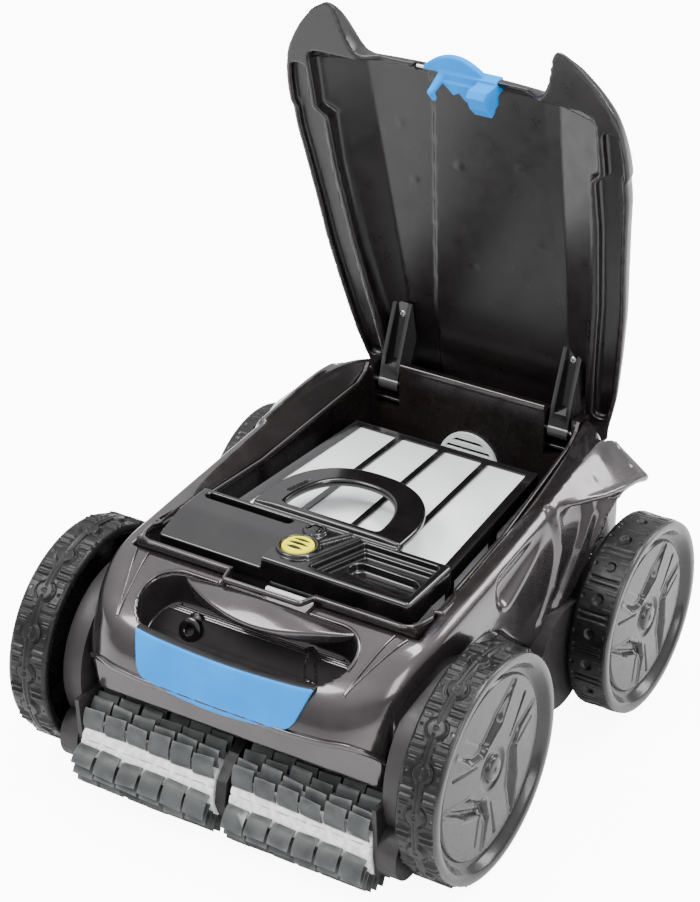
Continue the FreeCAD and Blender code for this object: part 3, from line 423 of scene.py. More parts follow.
def tyre(name, side, axle_y, radius, pitches, tread, body):
    crown = radius - 2.4
    seat = radius - 12
    profile = [(178.5, seat), (176.5, seat + 2), (175.4, radius - 7), (175.8, radius - 4.6)]
    profile += [(177.2, crown - 0.6)]
    profile += [(x, crown) for x in np.arange(178.4, 211.7, 0.8)]
    profile += [(212.2, crown - 0.5), (212.8, crown - 1.8), (212.9, seat + 4), (212.4, seat)]
    x, r = np.array(profile).T
    columns = int(round(2 * math.pi * radius / 0.95 / pitches)) * pitches
    turn = np.linspace(0, 2 * math.pi, columns, endpoint=False)
    pitch = 2 * math.pi * radius / pitches
    raised = tread((turn * radius)[:, None], (x - 195)[None, :], pitch) * (np.abs(r - crown) < 0.2)
    points = wheel_points(side, axle_y, radius, np.broadcast_to(x, raised.shape), r + raised, turn[:, None])
    faces = grid_faces(columns, len(x), wrap_rows=True, wrap_columns=True)
    made = outward(piece(name, points, faces, body, TYRE))
    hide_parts(name.replace("tread", "tyre"))


def face_relief(u, v, scale):
    """How far a wheel's face stands out or in, mm: three hooked slots with slits between them."""
    height = np.zeros_like(u)
    for a in (0.0, math.radians(118.5), math.radians(238)):
        p, q = (u * math.cos(a) + v * math.sin(a)) / scale, (v * math.cos(a) - u * math.sin(a)) / scale
        blade = capsule(p, q, (37, 67), (8, 45), 2.0, 8.5)
        blade = smin(blade, capsule(p, q, (8, 45), (-16, 30), 8.5, 6.5), 3)
        foot = capsule(p, q, (-18, 27), (-36, 29), 4.5, 2.8)
        foot = smin(foot, capsule(p, q, (-36, 29), (-58, 46), 2.8, 0.6), 2)
        slot = smin(blade, foot, 4)
        ridge = capsule(p, q, (33, 62), (-12, 32), 0.4, 1.6)
        height -= 5.2 * (1 - step(-4.5, 0.6, slot)) - 1.5 * (1 - step(-0.5, 2.5, ridge))
        height += 0.8 * (1 - step(0, 2.6, np.abs(slot - 1.4)))
        slit = capsule(p, q, (55, 44), (29, 16), 1.5, 0.5)
        height -= 2.0 * (1 - step(-0.8, 0.8, slit))
        shoulder = capsule(p, q, (68, 12), (27, -6), 0.6, 1.4)
        height -= 1.0 * (1 - step(-0.6, 1.2, shoulder))
    return height


def wheel_face(name, side, axle_y, radius, body):
    """The grey wheel: lip, sunk cone, relief face and hub cap, closed behind."""
    lip = radius - 2.6
    scale = lip / 101.4
    ring = [(lip - 10.5, 211.4), (lip - 9, 213.4), (lip - 7.6, 214.3), (lip - 1.6, 214.6), (lip - 0.4, 213.8),
            (lip, 212.2), (lip - 0.2, 206)]
    cone = [(lip - 19.5, 205.6), (lip - 18.6, 204.8), (lip - 16, 205.2), (lip - 13.5, 207.4)]
    hub = [(0.4, 213.6), (5, 213.5), (9.5, 212.9), (11.2, 211.9), (11.6, 210.2), (12.6, 208.6), (15, 208.0),
           (18.4, 208.4), (19.6, 209.6), (20.6, 210.2)]
    flat_r = np.arange(21.6, lip - 20.2, 0.85)
    disc = [(r, 210.2 - 0.0004 * (r - 20) ** 2) for r in flat_r]
    back = [(lip - 3, 204.5), (lip - 12, 199), (30, 199), (16, 180), (0.4, 180)]
    profile = np.array(hub + disc + cone + ring + back)
    r, x = profile.T
    columns = 400
    turn = np.linspace(0, 2 * math.pi, columns, endpoint=False)[:, None]
    u, v = r[None, :] * np.cos(turn), r[None, :] * np.sin(turn)
    on_disc = ((r > 21.5) & (r < lip - 20.3) & (x > 206))[None, :]
    shown = step(21, 27, r) * (1 - step(lip - 25, lip - 20.5, r))
    height = np.where(on_disc, face_relief(u, v, scale) * shown, 0)
    arcs = step(0.0, 0.04, np.sin(1.5 * (turn + 0.2)) ** 2 - 0.82)
    arcs = arcs * (1 - step(0.6, 1.6, np.abs(r - (lip - 11.8))))
    height = height - 0.8 * arcs
    points = wheel_points(side, axle_y, radius, x + height, np.broadcast_to(r, height.shape), turn)
    faces = grid_faces(columns, len(r), wrap_rows=True)
    n = columns * len(r)
    centres = wheel_points(side, axle_y, radius, np.array([x[0], x[-1]]), np.zeros(2), np.zeros(2))
    last = len(r) - 1
    for k in range(columns):
        k2 = (k + 1) % columns
        faces.append([n, k2 * len(r), k * len(r)])
        faces.append([n + 1, k * len(r) + last, k2 * len(r) + last])
    points = np.concatenate([points.reshape(-1, 3), centres])
    made = outward(piece(name, points, faces, body, WHEEL_GREY))
    place = name.replace("wheel_face_", "")
    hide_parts("rim_" + place, "hubcap_" + place)


def wheels():
    for place, side in SIDES:
        tyre("tread_front_" + place, side, 0, FRONT_R, 17, front_tread, "front_wheel_" + place)
        tyre("tread_rear_" + place, side, WHEELBASE, REAR_R, 18, rear_tread, "rear_wheel_" + place)
        wheel_face("wheel_face_front_" + place, side, 0, FRONT_R, "front_wheel_" + place)
        wheel_face("wheel_face_rear_" + place, side, WHEELBASE, REAR_R, "rear_wheel_" + place)


# ---- brush rollers ----

BRUSH_Y, BRUSH_Z, CORE_R = -64.3, 45.4, 29.5


def brush_point(x, r, turn):
    return np.stack(np.broadcast_arrays(x, BRUSH_Y + r * np.cos(turn), BRUSH_Z + r * np.sin(turn)), -1)


def brush_fin(x0, x1, root, lean, twist, tall):
    """One flexible blade: a thin curved plate that leans back from the radius."""
    us, ws = np.linspace(0, 1, 5), np.linspace(0, 1, 6)
    u, w = np.meshgrid(us, ws, indexing="ij")
    x = x0 + (x1 - x0) * u
    r = CORE_R + 0.3 + tall * w
    turn = root + twist * u + lean * w ** 1.4
    sheets = []
    for offset in (-0.75, 0.75):
        shift = offset * (1 - 0.35 * w) / r
        sheets.append(brush_point(x, r, turn + shift))
    return sheets


def brush_fins(place, side, rng):
    points, faces = [], []
    rows, columns, tile, gap = 18, 6, 20.6, 2.6
    for row in range(rows):
        for column in range(columns):
            x0 = 9.5 + column * (tile + gap)
            root = math.radians(172 + 18.6 * (row % 9) + 180 * (row // 9) + 1.2 * column * side)
            lean = math.radians((4 - row % 9) * 5.5 + rng.uniform(-4, 4))
            twist = math.radians(rng.uniform(-3.0, 3.0))
            tall = rng.uniform(14.4, 15.2)
            a, b = brush_fin(side * x0, side * (x0 + tile), root, lean, twist, tall)
            start, (m, n) = len(points), a.shape[:2]
            points += a.reshape(-1, 3).tolist() + b.reshape(-1, 3).tolist()
            size = m * n
            for i, j in np.ndindex(m - 1, n - 1):
                q = start + i * n + j
                faces.append([q, q + 1, q + n + 1, q + n])
                faces.append([q + size, q + n + size, q + n + 1 + size, q + 1 + size])
            loop = [i * n for i in range(m)] + [(m - 1) * n + j for j in range(1, n)]
            loop += [i * n + n - 1 for i in range(m - 2, -1, -1)] + [j for j in range(n - 2, 0, -1)]
            for p, q in zip(loop, loop[1:] + loop[:1]):
                faces.append([start + p, start + q, start + q + size, start + p + size])
    made = piece("fins_" + place, metres(points), faces, "brush_" + place, FIN_GREY, flat=50)
    soften = made.modifiers.new("edges", "BEVEL")
    soften.width, soften.segments, soften.limit_method = 0.0004, 2, "ANGLE"
    soften.angle_limit = math.radians(50)
    outward(made)
    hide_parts("brush_fins_" + place)


def brush_core(place, side):
    """Pale roller with lengthwise ribs and a dashed seam."""
    xs = np.concatenate([[8.2, 8.4, 9.0], np.arange(10, 146, 1.2), [146.0, 146.4, 146.6]])
    columns = 240
    turn = np.linspace(0, 2 * math.pi, columns, endpoint=False)[:, None]
    ends = np.minimum(xs - 8.2, 146.6 - xs)
    r = CORE_R - 0.2 - 1.2 * (1 - step(0, 1.6, ends))[None, :] + 0 * turn
    degrees = np.degrees(turn) % 180
    dash = step(-0.2, 0.2, np.sin(xs * 0.34) + 0.55)[None, :]
    seam = 1 - step(0.9, 1.9, np.abs(degrees - 157))
    r = r - 2.2 * seam * dash + 0.5 * (1 - step(2.2, 3.2, np.abs(degrees - 147)))
    ring = brush_point(side * xs[None, :], r, turn)
    inner = brush_point(side * xs[None, :], np.full_like(r, 12.0), turn)
    loop = np.concatenate([ring, inner[:, ::-1]], 1)
    faces = grid_faces(columns, loop.shape[1], wrap_rows=True, wrap_columns=True)
    made = outward(piece("roller_" + place, metres(loop), faces, "brush_" + place,
                         ROLLER_WHITE))
    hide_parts("brush_core_" + place)


def brushes():
    rng = np.random.default_rng(7)
    for place, side in SIDES:
        brush_fins(place, side, rng)
        brush_core(place, side)


# ---- body ----

def eased(xs, ys, blur):
    """A smooth curve through a few heights: straight runs, blurred by so many mm."""
    t = np.linspace(xs[0] - 4 * blur, xs[-1] + 4 * blur, 800)
    spacing = t[1] - t[0]
    reach = np.arange(-int(3 * blur / spacing), int(3 * blur / spacing) + 1) * spacing
    weight = np.exp(-0.5 * (reach / blur) ** 2)
    padded = np.pad(np.interp(t, xs, ys), len(reach) // 2, mode="edge")
    values = np.convolve(padded, weight / weight.sum(), mode="valid")
    return lambda x: np.interp(x, t, values)


HALF_WIDTH = eased([0, 60, 96, 146, 187, 205, 215, 235, 260],
                   [151, 153, 156, 159, 160.5, 159, 156.5, 148.5, 143], 5)
REAR_TAPER = eased([200, 300, 360], [0, 3, 14], 15)
FRONT_FACE = eased([0, 96, 120, 146, 165, 187, 215, 250], [-92, -95, -100, -101, -95, -84, -62, -25], 4)
FRONT_BOW = eased([-10, 0, 76, 110, 130, 160], [0, 0, 1, 5, 9, 16], 6)
HEM = eased([-60, -40, 0, 40, 76, 103, 127, 160, 188, 205, 230, 255, 272, 300, 345],
            [160, 170, 178, 180, 177, 165, 142, 115, 95, 128, 150, 174, 198, 208, 198], 4)
FLARE = eased([150, 188, 205, 230, 255, 272, 300, 345], [0, 2, 8, 12, 15, 18, 19, 18], 6)
WING_TOP = eased([203, 260, 300, 331, 352], [232, 238, 237, 233, 222], 8)
WING_EDGE = eased([203, 235, 270, 300, 345, 356], [150, 160, 170, 174.5, 176, 172], 6)


BAY_DIP = eased([0, 50, 68, 200, 225, 253, 282, 305, 322, 330],
                [-8, 1, 4.8, 18, 18.5, 18, 17, 15.5, 10, 4], 4)


def roof_height(y):
    return smin(214 + 0.1 * y, 222 + 0.436 * y, 5)


def recess(x, y):
    """Distance to the recess's opening, an oval whose front edge bows forward to the blue plate."""
    bow = 5.5 * np.clip(1 - (x / 96) ** 2, 0, 1) * (1 - step(-72, -45, y))
    return rounded_rect(x, y + bow, (-104, -76), (104, -22), 26.9)


def recess_floor(x, y):
    slope = np.interp(y, [-76, -52, -30, -22], [151, 154, 174, 182])
    stripe = 1 - step(-1, 1, capsule(x, y, (50, -28), (74, -66), 4, 6))
    ridge = 1 - step(1.0, 3.0, np.abs(y + 58))
    return slope + 2.5 * stripe + 2.5 * ridge


def arch_opening(x, z):
    return rounded_rect(np.abs(x), z, (-147, -80), (147, 147.5), 34)


def flank_relief(y, z):
    """Raised lines that sweep down the flank between the wheels."""
    height = 0
    for line in (((207, 226), (205, 192), (195, 160), (176, 132), (172, 112)),
                 ((268, 228), (258, 205), (236, 178), (206, 146), (184, 108))):
        near = 1e3
        for a, b in zip(line, line[1:]):
            near = smin(near, capsule(y, z, a, b, 0, 0), 4)
        height = height + 3.4 * np.maximum(0, 1 - near / 9)
    return height


def body_solid(x, y, z):
    """Distance to the body's outer form, before the bay, the brush tunnel and the recess are cut."""
    ax = np.abs(x)
    hem = HEM(y)
    flare = FLARE(y) * np.exp(-np.maximum(z - hem, 0) / 24)
    flank = ax - HALF_WIDTH(z) + REAR_TAPER(y) - flare - flank_relief(y, z)
    front = FRONT_FACE(z) + FRONT_BOW(ax) - y
    rear = y - (361 - 0.03 * np.maximum(z - 150, 0) - 0.00035 * ax ** 2)
    form = smax(smax(flank, front, 62), rear, 60)
    form = smax(form, (z - roof_height(y)) * 0.95, 10)
    scoop = np.minimum(capsule_3d(ax, y, z, (171, 112, 203), (163, 200, 229), 21, 7), 50)
    form = smax(form, -scoop, 2.5)
    tuck = smax(151.3 - ax, z - hem, 2.5)
    tuck = smax(tuck, -52 - y, 3)
    form = smax(form, -tuck, 2.5)
    wing_top = WING_TOP(y) - 0.95 * (ax - 150)
    wing = smax((z - wing_top) * 0.72, (wing_top - 5.5 - z) * 0.72, 2.5)
    wing = smax(wing, ax - WING_EDGE(y), 4)
    wing = np.maximum(np.maximum(wing, 143 - ax), 204 - y)
    wing = smax(wing, y - 355 + 0.35 * (176 - ax), 5)
    edge_top = WING_TOP(y) - 0.95 * (WING_EDGE(y) - 151.5)
    bead = np.hypot(ax - WING_EDGE(y) + 1.6, z - edge_top + 3.2) - 3.2 * step(208, 255, y)
    bead = np.maximum(bead, np.maximum(208 - y, y - 350))
    return smin(smin(form, wing, 7), bead, 2)


def capsule_3d(x, y, z, a, b, ra, rb):
    ab = np.subtract(b, a)
    t = ((x - a[0]) * ab[0] + (y - a[1]) * ab[1] + (z - a[2]) * ab[2]) / float(ab @ ab)
    t = np.clip(t, 0, 1)
    away = [c - a[n] - t * ab[n] for n, c in enumerate((x, y, z))]
    return np.sqrt(sum(c * c for c in away)) - (ra + (rb - ra) * t)


def body_cut(x, y, z):
    """Distance to the body with every opening cut, still solid inside."""
    ax = np.abs(x)
    roof = roof_height(y)
    d = body_solid(x, y, z)
    arch = arch_opening(x, z)
    d = smax(d, -smax(recess(x, y), recess_floor(x, y) - z, 4), 1.2)
    tunnel = smax(np.hypot(y + 64.3, z - 45.4) - 54.5, ax - 147, 3)
    mouth = smax(arch, y + 70, 3)
    d = smax(d, -smin(tunnel, mouth, 3), 1.6)
    inner = np.clip((167 - 0.085 * y - ax) / 29, 0, 1)
    d = smax(d, (z - roof - 4 + (BAY_DIP(y) + 4) * inner) * 0.85, 3)
    bay = np.maximum(np.maximum(ax - (141.6 - 0.0875 * (y - 10)), -8.4 - y), y - 350.4)
    bay = np.maximum(bay, np.where(y > 331, ax - 113.6, -1))
    notch = np.maximum(np.maximum(ax - 44.4, 185 - z), np.maximum(-25.4 - y, y - 10))
    d = smax(d, -np.maximum(np.minimum(bay, notch), 106 - z), 1.0)
    sweep = np.maximum(21.4 - np.hypot(y - HINGE_Y, z - HINGE_Z), HINGE_Y - y)
    sweep = np.maximum(sweep, np.maximum(212 - z, ax - 151))
    return smax(d, -sweep, 1.5)


def body_skin(x, y, z):
    """The body as a moulding 7 mm thick, open underneath, with a leg at each end of the brush."""
    solid = body_cut(x, y, z)
    shell = smax(solid, -(solid + WALL), 0.6)
    ax = np.abs(x)
    leg = smax(smax(147.4 - ax, y + 58, 3), 21 + 0.18 * np.maximum(y + 90, 0) - z, 3)
    foot = smax(96 - z + 0.02 * ax, -leg, 3)
    return smax(shell, foot, 1.5)


def body():
    made = moulded("body_skin", body_skin, (-182, -112, 14), (182, 368, 256), 2.5, "body",
                   BODY_GREY)
    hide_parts("body_shell")

    # Painted shade: a thin dark sheet over the recess floor, so the recess reads as if in shade.
    def shade_sheet(x, y, z):
        over = z - recess_floor(x, y)
        return smax(recess(x, y) + 0.5, np.abs(over - 0.1) - 1.1, 0.5)
    moulded("recess_painted_shade_sheet", shade_sheet, (-108, -86, 144), (108, -18, 192), 1.3, "body", RECESS_PAINTED_SHADE)
    body_edges()


def resting(path, axis, far, near):
    """Path whose points are moved along one axis, from far to near, onto the body's outer form."""
    path = np.array(path, float)
    reach = np.linspace(far, near, 600)
    for point in path:
        line = np.repeat(point[None], len(reach), 0)
        line[:, axis] = reach
        point[axis] = reach[np.argmax(body_solid(*line.T) < 0)]
    return path


def body_edges():
    """Rounded rim lines of the moulding: round the brush arch, round the recess and up the corners."""
    turn = np.radians(np.arange(180, 89, -6))
    half = [(-114.6 + 35 * math.cos(t), 114.5 + 35 * math.sin(t)) for t in turn]
    half = [(-149.6, z) for z in range(24, 114, 6)] + half + [(x, 149.5) for x in range(-108, 0, 6)]
    arch = [(x, 0, z) for x, z in half] + [(-x, 0, z) for x, z in half[::-1]]
    strip("arch_edge", resting(arch, 1, -112, 40) - (0, 0.6, 0), 5.0, 5.2, "body", BODY_GREY,
          up=(0, 1, 0))
    for place, side in SIDES:
        turn = np.radians(np.arange(-18, 91, 6))
        oval = [(77.1 + 28.7 * math.cos(t), -48.9 + 28.7 * math.sin(t)) for t in turn]
        oval += [(x, -20.2) for x in range(74, 45, -4)]
        oval = resting([(side * x, y, 0) for x, y in oval], 2, 230, 150)
        strip("recess_edge_" + place, oval, 3.0, 3.6, "body", BODY_GREY)
        for name, x_high in (("inner", 123), ("outer", 135)):
            line = [(side * (112.5 + (x_high - 112.5) * t), -76 + 62 * t, 0) for t in np.linspace(0, 1, 24)]
            strip("corner_line_" + name + "_" + place, resting(line, 2, 230, 150), 2.6, 3.2, "body",
                  BODY_GREY)


# ---- lid, drawn closed ----

LID_HALF = eased([-60, -30, -10, 10, 30, 75, 100, 150, 200, 250, 300, 343],
                 [138, 154, 163, 167, 169, 169, 166, 161, 157, 150, 142, 131], 6)
LID_FRONT = eased([-10, 0, 84, 94, 101, 106, 112, 128, 145, 158, 168],
                  [-16, -16, -16, -21, -38, -66, -72, -62, -42, -22, 0], 1.8)
LID_CROWN = eased([-70, -40, -15, 20, 60, 150, 250, 320, 360],
                  [228, 241, 250, 259, 266, 272, 276, 277, 273], 12)
LIP = eased([-20, 50, 57, 111, 197, 278, 330], [141, 141, 131, 130, 123, 112, 106], 2)


def lid_half(y):
    return LID_HALF(y) - 2.5 * step(46, 54, y)


def lid_rim(x, y):
    notch = step(70, 92, np.abs(x)) + step(2, 14, y)
    return 216.4 + 0.1 * y + 12.5 * (1 - np.clip(notch, 0, 1))


def lid_form(x, y, z):
    ax = np.abs(x)
    up = z - 216 - 0.1 * y
    side = ax - lid_half(y) + 0.004 * (up - 12) ** 2
    form = smax(side, (LID_FRONT(ax) - y) * 0.8, 8)
    form = smax(form, z - LID_CROWN(y) + 0.0006 * ax ** 2, 26)
    return smax(form, y - 360, 10)


def lid_cavity(x, y, z):
    """The hollow under the lid: a main panel with a step and two creases, and sloping side panels."""
    ax = np.abs(x)
    crease = np.interp(y, [8, 247], [96, 85])
    ceiling = 243 + 0.07 * y - 0.30 * np.maximum(ax - crease, 0) - 0.07 * np.maximum(x - 79, 0)
    ceiling = ceiling - 1.8 * step(-1.2, 1.2, x - np.interp(y, [27, 275], [-32, -56]))
    front = 1 - step(-3.5, -1, y)
    roll = 3.5 * np.sqrt(np.clip(1 - ((y + 7) / 7) ** 2, 0, 1))
    ceiling = ceiling - front * (9 - roll)
    for px, py in ((-62, 120), (-12, 92), (50, 80), (64, 160), (-70, 60), (-8, 200)):
        ceiling = ceiling - 0.35 * (1 - step(2.5, 5.5, np.hypot(x - px, y - py)))
    walls = smax(ax - LIP(y) + 0.10 * (z - 216), -13 - y + 0.25 * (z - 216), 12)
    walls = smax(walls, y - 348, 16)
    return smax(walls, z - ceiling, 5)


def rim_channel(x, y, z):
    """The groove that runs round the lid's edge, between its outer and inner walls."""
    ax = np.abs(x)
    middle, half = (LIP(y) + lid_half(y)) / 2, (lid_half(y) - LIP(y)) / 2 - 5.5
    groove = smax(np.abs(ax - middle) - half, z - lid_rim(x, y) - 7, 5)
    return smax(groove, np.maximum(4 - y, y - 330), 6)


def lid_skin(x, y, z):
    form = lid_form(x, y, z)
    d = smax(form, -lid_cavity(x, y, z), 2.0)
    d = smax(d, lid_rim(x, y) - z, 1.6)
    d = smax(d, -rim_channel(x, y, z), 1.5)
    slot = np.maximum(np.maximum(np.abs(x) - 41.5, np.abs(z - 233.5) - 6.5), y - 1)
    return smax(d, -slot, 1)


def lid():
    made = moulded("lid_skin", lid_skin, (-178, -76, 204), (178, 364, 283), 2.2, "lid", LID_GREY,
                   lid=True)
    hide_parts("lid_shell", "lid_liner")


# ---- bay rim, filter top and fittings ----

RIM_Z = eased([-10, 3, 17, 28, 50, 68, 200, 225, 253, 282, 305, 322, 331],
              [221, 221, 220, 219, 217, 216, 216, 218, 221, 225, 229, 236, 243], 3)


def strip(name, path, wide, tall, body, finish, up=(0, 0, 1)):
    """Raised edge along an open path of (x, y, z) points: a rounded bar with capped ends, tall along up."""
    path = np.array(path, float)
    run = np.r_[0, np.cumsum(np.linalg.norm(np.diff(path, axis=0), axis=1))]
    even = np.linspace(0, run[-1], int(run[-1] / 1.4))
    path = np.stack([np.interp(even, run, path[:, n]) for n in range(3)], -1)
    path[1:-1] = (path[:-2] + 2 * path[1:-1] + path[2:]) / 4
    across = np.cross(up, np.gradient(path, axis=0))
    across /= np.linalg.norm(across, axis=1)[:, None]
    turn = np.radians(np.arange(15, 360, 30))
    s = wide / 2 * np.sign(np.cos(turn)) * np.sqrt(np.abs(np.cos(turn)))
    h = tall / 2 * np.sign(np.sin(turn)) * np.sqrt(np.abs(np.sin(turn)))
    points = path[:, None] + across[:, None] * s[None, :, None] + np.array(up) * h[:, None]
    ring, last = len(turn), len(turn) * (len(path) - 1)
    faces = grid_faces(len(path), ring, wrap_columns=True)
    faces += [list(range(ring))[::-1], list(range(last, last + ring))]
    return outward(piece(name, metres(points), faces, body, finish, flat=60))


def bay_rim():
    side = [(126, -8.5), (134, -5), (138, 4), (140, 17), (136.5, 26), (143, 28), (142, 50), (138, 62),
            (133.5, 67), (124.7, 168), (112.5, 312), (111.5, 331), (107, 331.5)]
    notch = [(-38, -24), (37, -23), (43, -9)]
    path = [(-x, y) for x, y in side[::-1]] + [(-42, -9)] + notch + side
    strip("bay_edge", [(x, y, RIM_Z(y) - 1.2) for x, y in path], 3.4, 5, "body", BODY_GREY)
    strip("bay_edge_rear", [(-76, 331.5, 250), (76, 331.5, 250)], 3.4, 7, "body", BODY_GREY)
    for place, side in SIDES:
        def backing(x, y, z, side=side):
            r = np.hypot(y - HINGE_Y, z - HINGE_Z)
            d = smax(np.abs(r - 17.5) - 1.6, np.abs(x - 91 * side) - 15, 0.5)
            return smax(smax(d, z - 228 - 0.25 * (y - 338), 0.5), 336 - y, 0.5)
        moulded("pocket_back_" + place, backing, (91 * side - 18, 333, 206), (91 * side + 18, 360, 238), 1.0,
                "body", BAY_DARK)
    moulded("catch_bar", lambda x, y, z: rounded_box(x, y, z, (-38, -21.5, 208), (2, -18.5, 213), 1),
            (-41, -24, 205), (5, -16, 216), 0.8, "body", BODY_GREY)


def cover(x, y, z):
    """Bar over the front of the filter: a sloping plate, a ring for the button and nested trays."""
    d = rounded_box(x, y, z, (-125, 5, 209), (125, 77, 233), 3)
    d = smax(d, np.where(x < -20, (z - 233 + 0.30 * (42 - y)) * 0.95, -9), 1.2)
    d = smax(d, -np.maximum(capsule(x, y, (-112, 67), (-32, 67), 4.5, 4.5), 225 - z), 0.8)
    outer = smax(rounded_rect(x, y, (20, 14), (118, 70), 5), (24 + 0.36 * (y - 14)) - x, 2)
    d = smax(d, -smax(outer, 227 - z, 1.5), 0.8)
    d = smax(d, -smax(outer + 5, 222 - z, 1.5), 0.8)
    d = smax(d, -smax(capsule(x, y, (54, 46), (98, 42), 10, 13), 214 - z, 4), 1)
    r = np.hypot(x, y - BUTTON_Y)
    d = smin(d, smax(r - 18.8, z - 236.5, 1.5), 1)
    boss = np.hypot(x + 2, y - 63)
    d = smin(d, smax(boss - 10.5, z - 236, 2), 2)
    arc = np.abs(boss - 6.2) - 1.1
    d = smax(d, -np.maximum(np.maximum(arc, 60 - y), 233 - z), 0.5)
    for a, b in (((16, 22), (36, 72)), ((10, 46), (27, 74))):
        rib = smax(capsule(x, y, a, b, 1.6, 1.6), z - 235.5, 1)
        d = smin(d, np.maximum(rib, 212 - z), 1)
    d = smax(d, 209 - z, 1)
    return smax(d, -np.maximum(r - 15.3, 216 - z), 0.6)


def d_handle(x, y, z):
    """D-shaped carrying loop with a foot that joins the bar."""
    def arch(half, base, tall):
        reach = (np.abs(x) / half) ** 2.3 + (np.maximum(y - base, 0) / tall) ** 2.3
        return reach ** (1 / 2.3) * half - half
    inner = smax(arch(48, 88, 59), 84 - y, 6)
    loop = smax(smax(arch(74, 92, 79), -inner, 2), 76 - y, 2)
    tilt = 0.08 * np.maximum(inner, 0)
    d = smax(loop, np.abs(z - 235 + tilt) - 4, 3.5)
    foot = rounded_box(x, y, z, (-74, 72, 220), (74, 83, 233.5), 2)
    d = smin(d, foot, 2)
    groove = np.maximum(capsule(x, y, (-54, 104), (-47, 126), 1.8, 1.8), 236.3 - z)
    return smax(d, -groove, 0.6)


def button_cap(x, y, z):
    """Domed button with three lens-shaped slots."""
    r = np.hypot(x, y - BUTTON_Y)
    d = smax(r - 14.3, z - 238.4 + 0.007 * r ** 2, 2)
    d = smax(d, 228 - z, 0.5)
    for row, reach in ((-1, 8.5), (0, 11.0), (1, 9.0)):
        gap = np.abs(y - BUTTON_Y - 6.4 * row) - 2.2 * (1 - (x / reach) ** 2)
        d = smax(d, -smax(np.maximum(gap, np.abs(x) - reach) * 0.8, 233 - z, 0.3), 0.3)
    return d


def filter_top():
    made = moulded("cover_bar", cover, (-128, 2, 206), (128, 80, 240), 1.3, "filter",
                   BLACK_GLOSS)
    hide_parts("filter_cover")
    made = moulded("d_handle", d_handle, (-78, 68, 216), (78, 175, 243), 1.3, "filter",
                   BLACK_GLOSS)
    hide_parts("filter_handle")
    made = moulded("button_cap", button_cap, (-16, 17, 226), (16, 49, 241), 0.5, "button", YELLOW)
    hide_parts("release_button")

    # Painted shade: a black disc under the cap, so its slots read dark as if in shadow.
    def slot_shade(x, y, z):
        r = np.hypot(x, y - BUTTON_Y)
        return smax(smax(r - 12.6, z - 237.7 + 0.007 * r ** 2, 1), 231 - z, 1)
    moulded("button_slot_shade", slot_shade, (-14, 19, 229), (14, 47, 240), 0.8, "button", BLACK_MATT)

    def slivers(x, y, z):
        left = rounded_box(x, y, z, (-14, 1.5, 190), (34, 6.5, 206), 1)
        return np.minimum(left, rounded_box(x, y, z, (72, 1.5, 190), (106, 6.5, 212), 1))
    moulded("mesh_front", slivers, (-17, 0, 187), (109, 9, 215), 1.0, "filter", MESH_WHITE)


def plate_outline(x, z, grow):
    ax = np.abs(x)
    low, high = 146 + 0.0012 * ax ** 2 - grow, 184 + 0.0004 * ax ** 2 + grow
    d = smax(low - z, ax - 88 - grow + 0.36 * np.maximum(high - z, 0) * (z < high), 9)
    return smax(d, z - high, 1)


def trim_plate(x, y, z, grow=0.0, proud=2.6):
    away = (y - FRONT_FACE(z) - FRONT_BOW(np.abs(x))) * 0.8
    return smax(plate_outline(x, z, grow), smax(-proud - away, away - 5, 0.5), 1.1)


def grip(x, y, z):
    """Leaf-shaped carrying grip: a domed top, a hollow underside and a crisp front edge."""
    u = np.clip((x - 8.5) / 86, -1, 1)
    swell = 1 - u ** 2
    front = -22 - 34 * swell ** 0.75
    t = np.clip((-20 - y) / 36, 0, 1)
    top = 210.5 + 8.5 * swell * np.sin(math.pi * t ** 0.8) - 2.0 * t
    under = 206.5 - 13 * swell * (1 - t) - 2.5 * t
    d = smax(z - top, under - z, 1.2)
    d = smax(d, (front - y) * 0.8, 1.6)
    return smax(smax(d, y + 22, 2), np.abs(x - 8.5) - 86, 2)


def gland():
    """Cable gland: a ringed end on a flared dome, with its bore left open."""
    profile = [(25.5, 4.6), (0.8, 4.6), (0.1, 5.2), (0, 6.4), (0.1, 9.4), (0.8, 10.6), (2, 11), (4, 11),
               (5, 10.4), (5.6, 9.6), (7, 9.6), (8, 10.6), (9, 12.6), (11, 14.6), (15, 16.4), (20, 17.2),
               (25.5, 17.5)]
    back, r = np.array(profile).T
    turn = np.linspace(0, 2 * math.pi, 72, endpoint=False)[:, None]
    end, axis = np.array([-63, -42, 170.0]), np.array([0, -0.906, 0.423])
    up = np.array([0, 0.423, 0.906])
    points = end - axis * back[None, :, None] + np.array([1.0, 0, 0]) * (r * np.cos(turn))[..., None]
    points = points + up * (r * np.sin(turn))[..., None]
    faces = grid_faces(72, len(profile), wrap_rows=True, wrap_columns=True)
    made = outward(piece("gland", metres(points), faces, "body", BLACK_GLOSS, flat=38))
    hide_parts("cable_gland")


def nose_fittings():
    made = moulded("trim_plate", trim_plate, (-94, -110, 138), (94, -64, 196), 1.4, "body", BLUE)
    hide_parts("front_trim")
    moulded("trim_gap", lambda x, y, z: trim_plate(x, y, z, 0.9, 1.0), (-96, -110, 138), (96, -64, 196), 1.6,
            "body", BLACK_MATT)
    made = moulded("grip", grip, (-82, -62, 188), (100, -18, 222), 1.3, "body", BODY_GREY)
    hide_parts("handle_grip")
    gland()


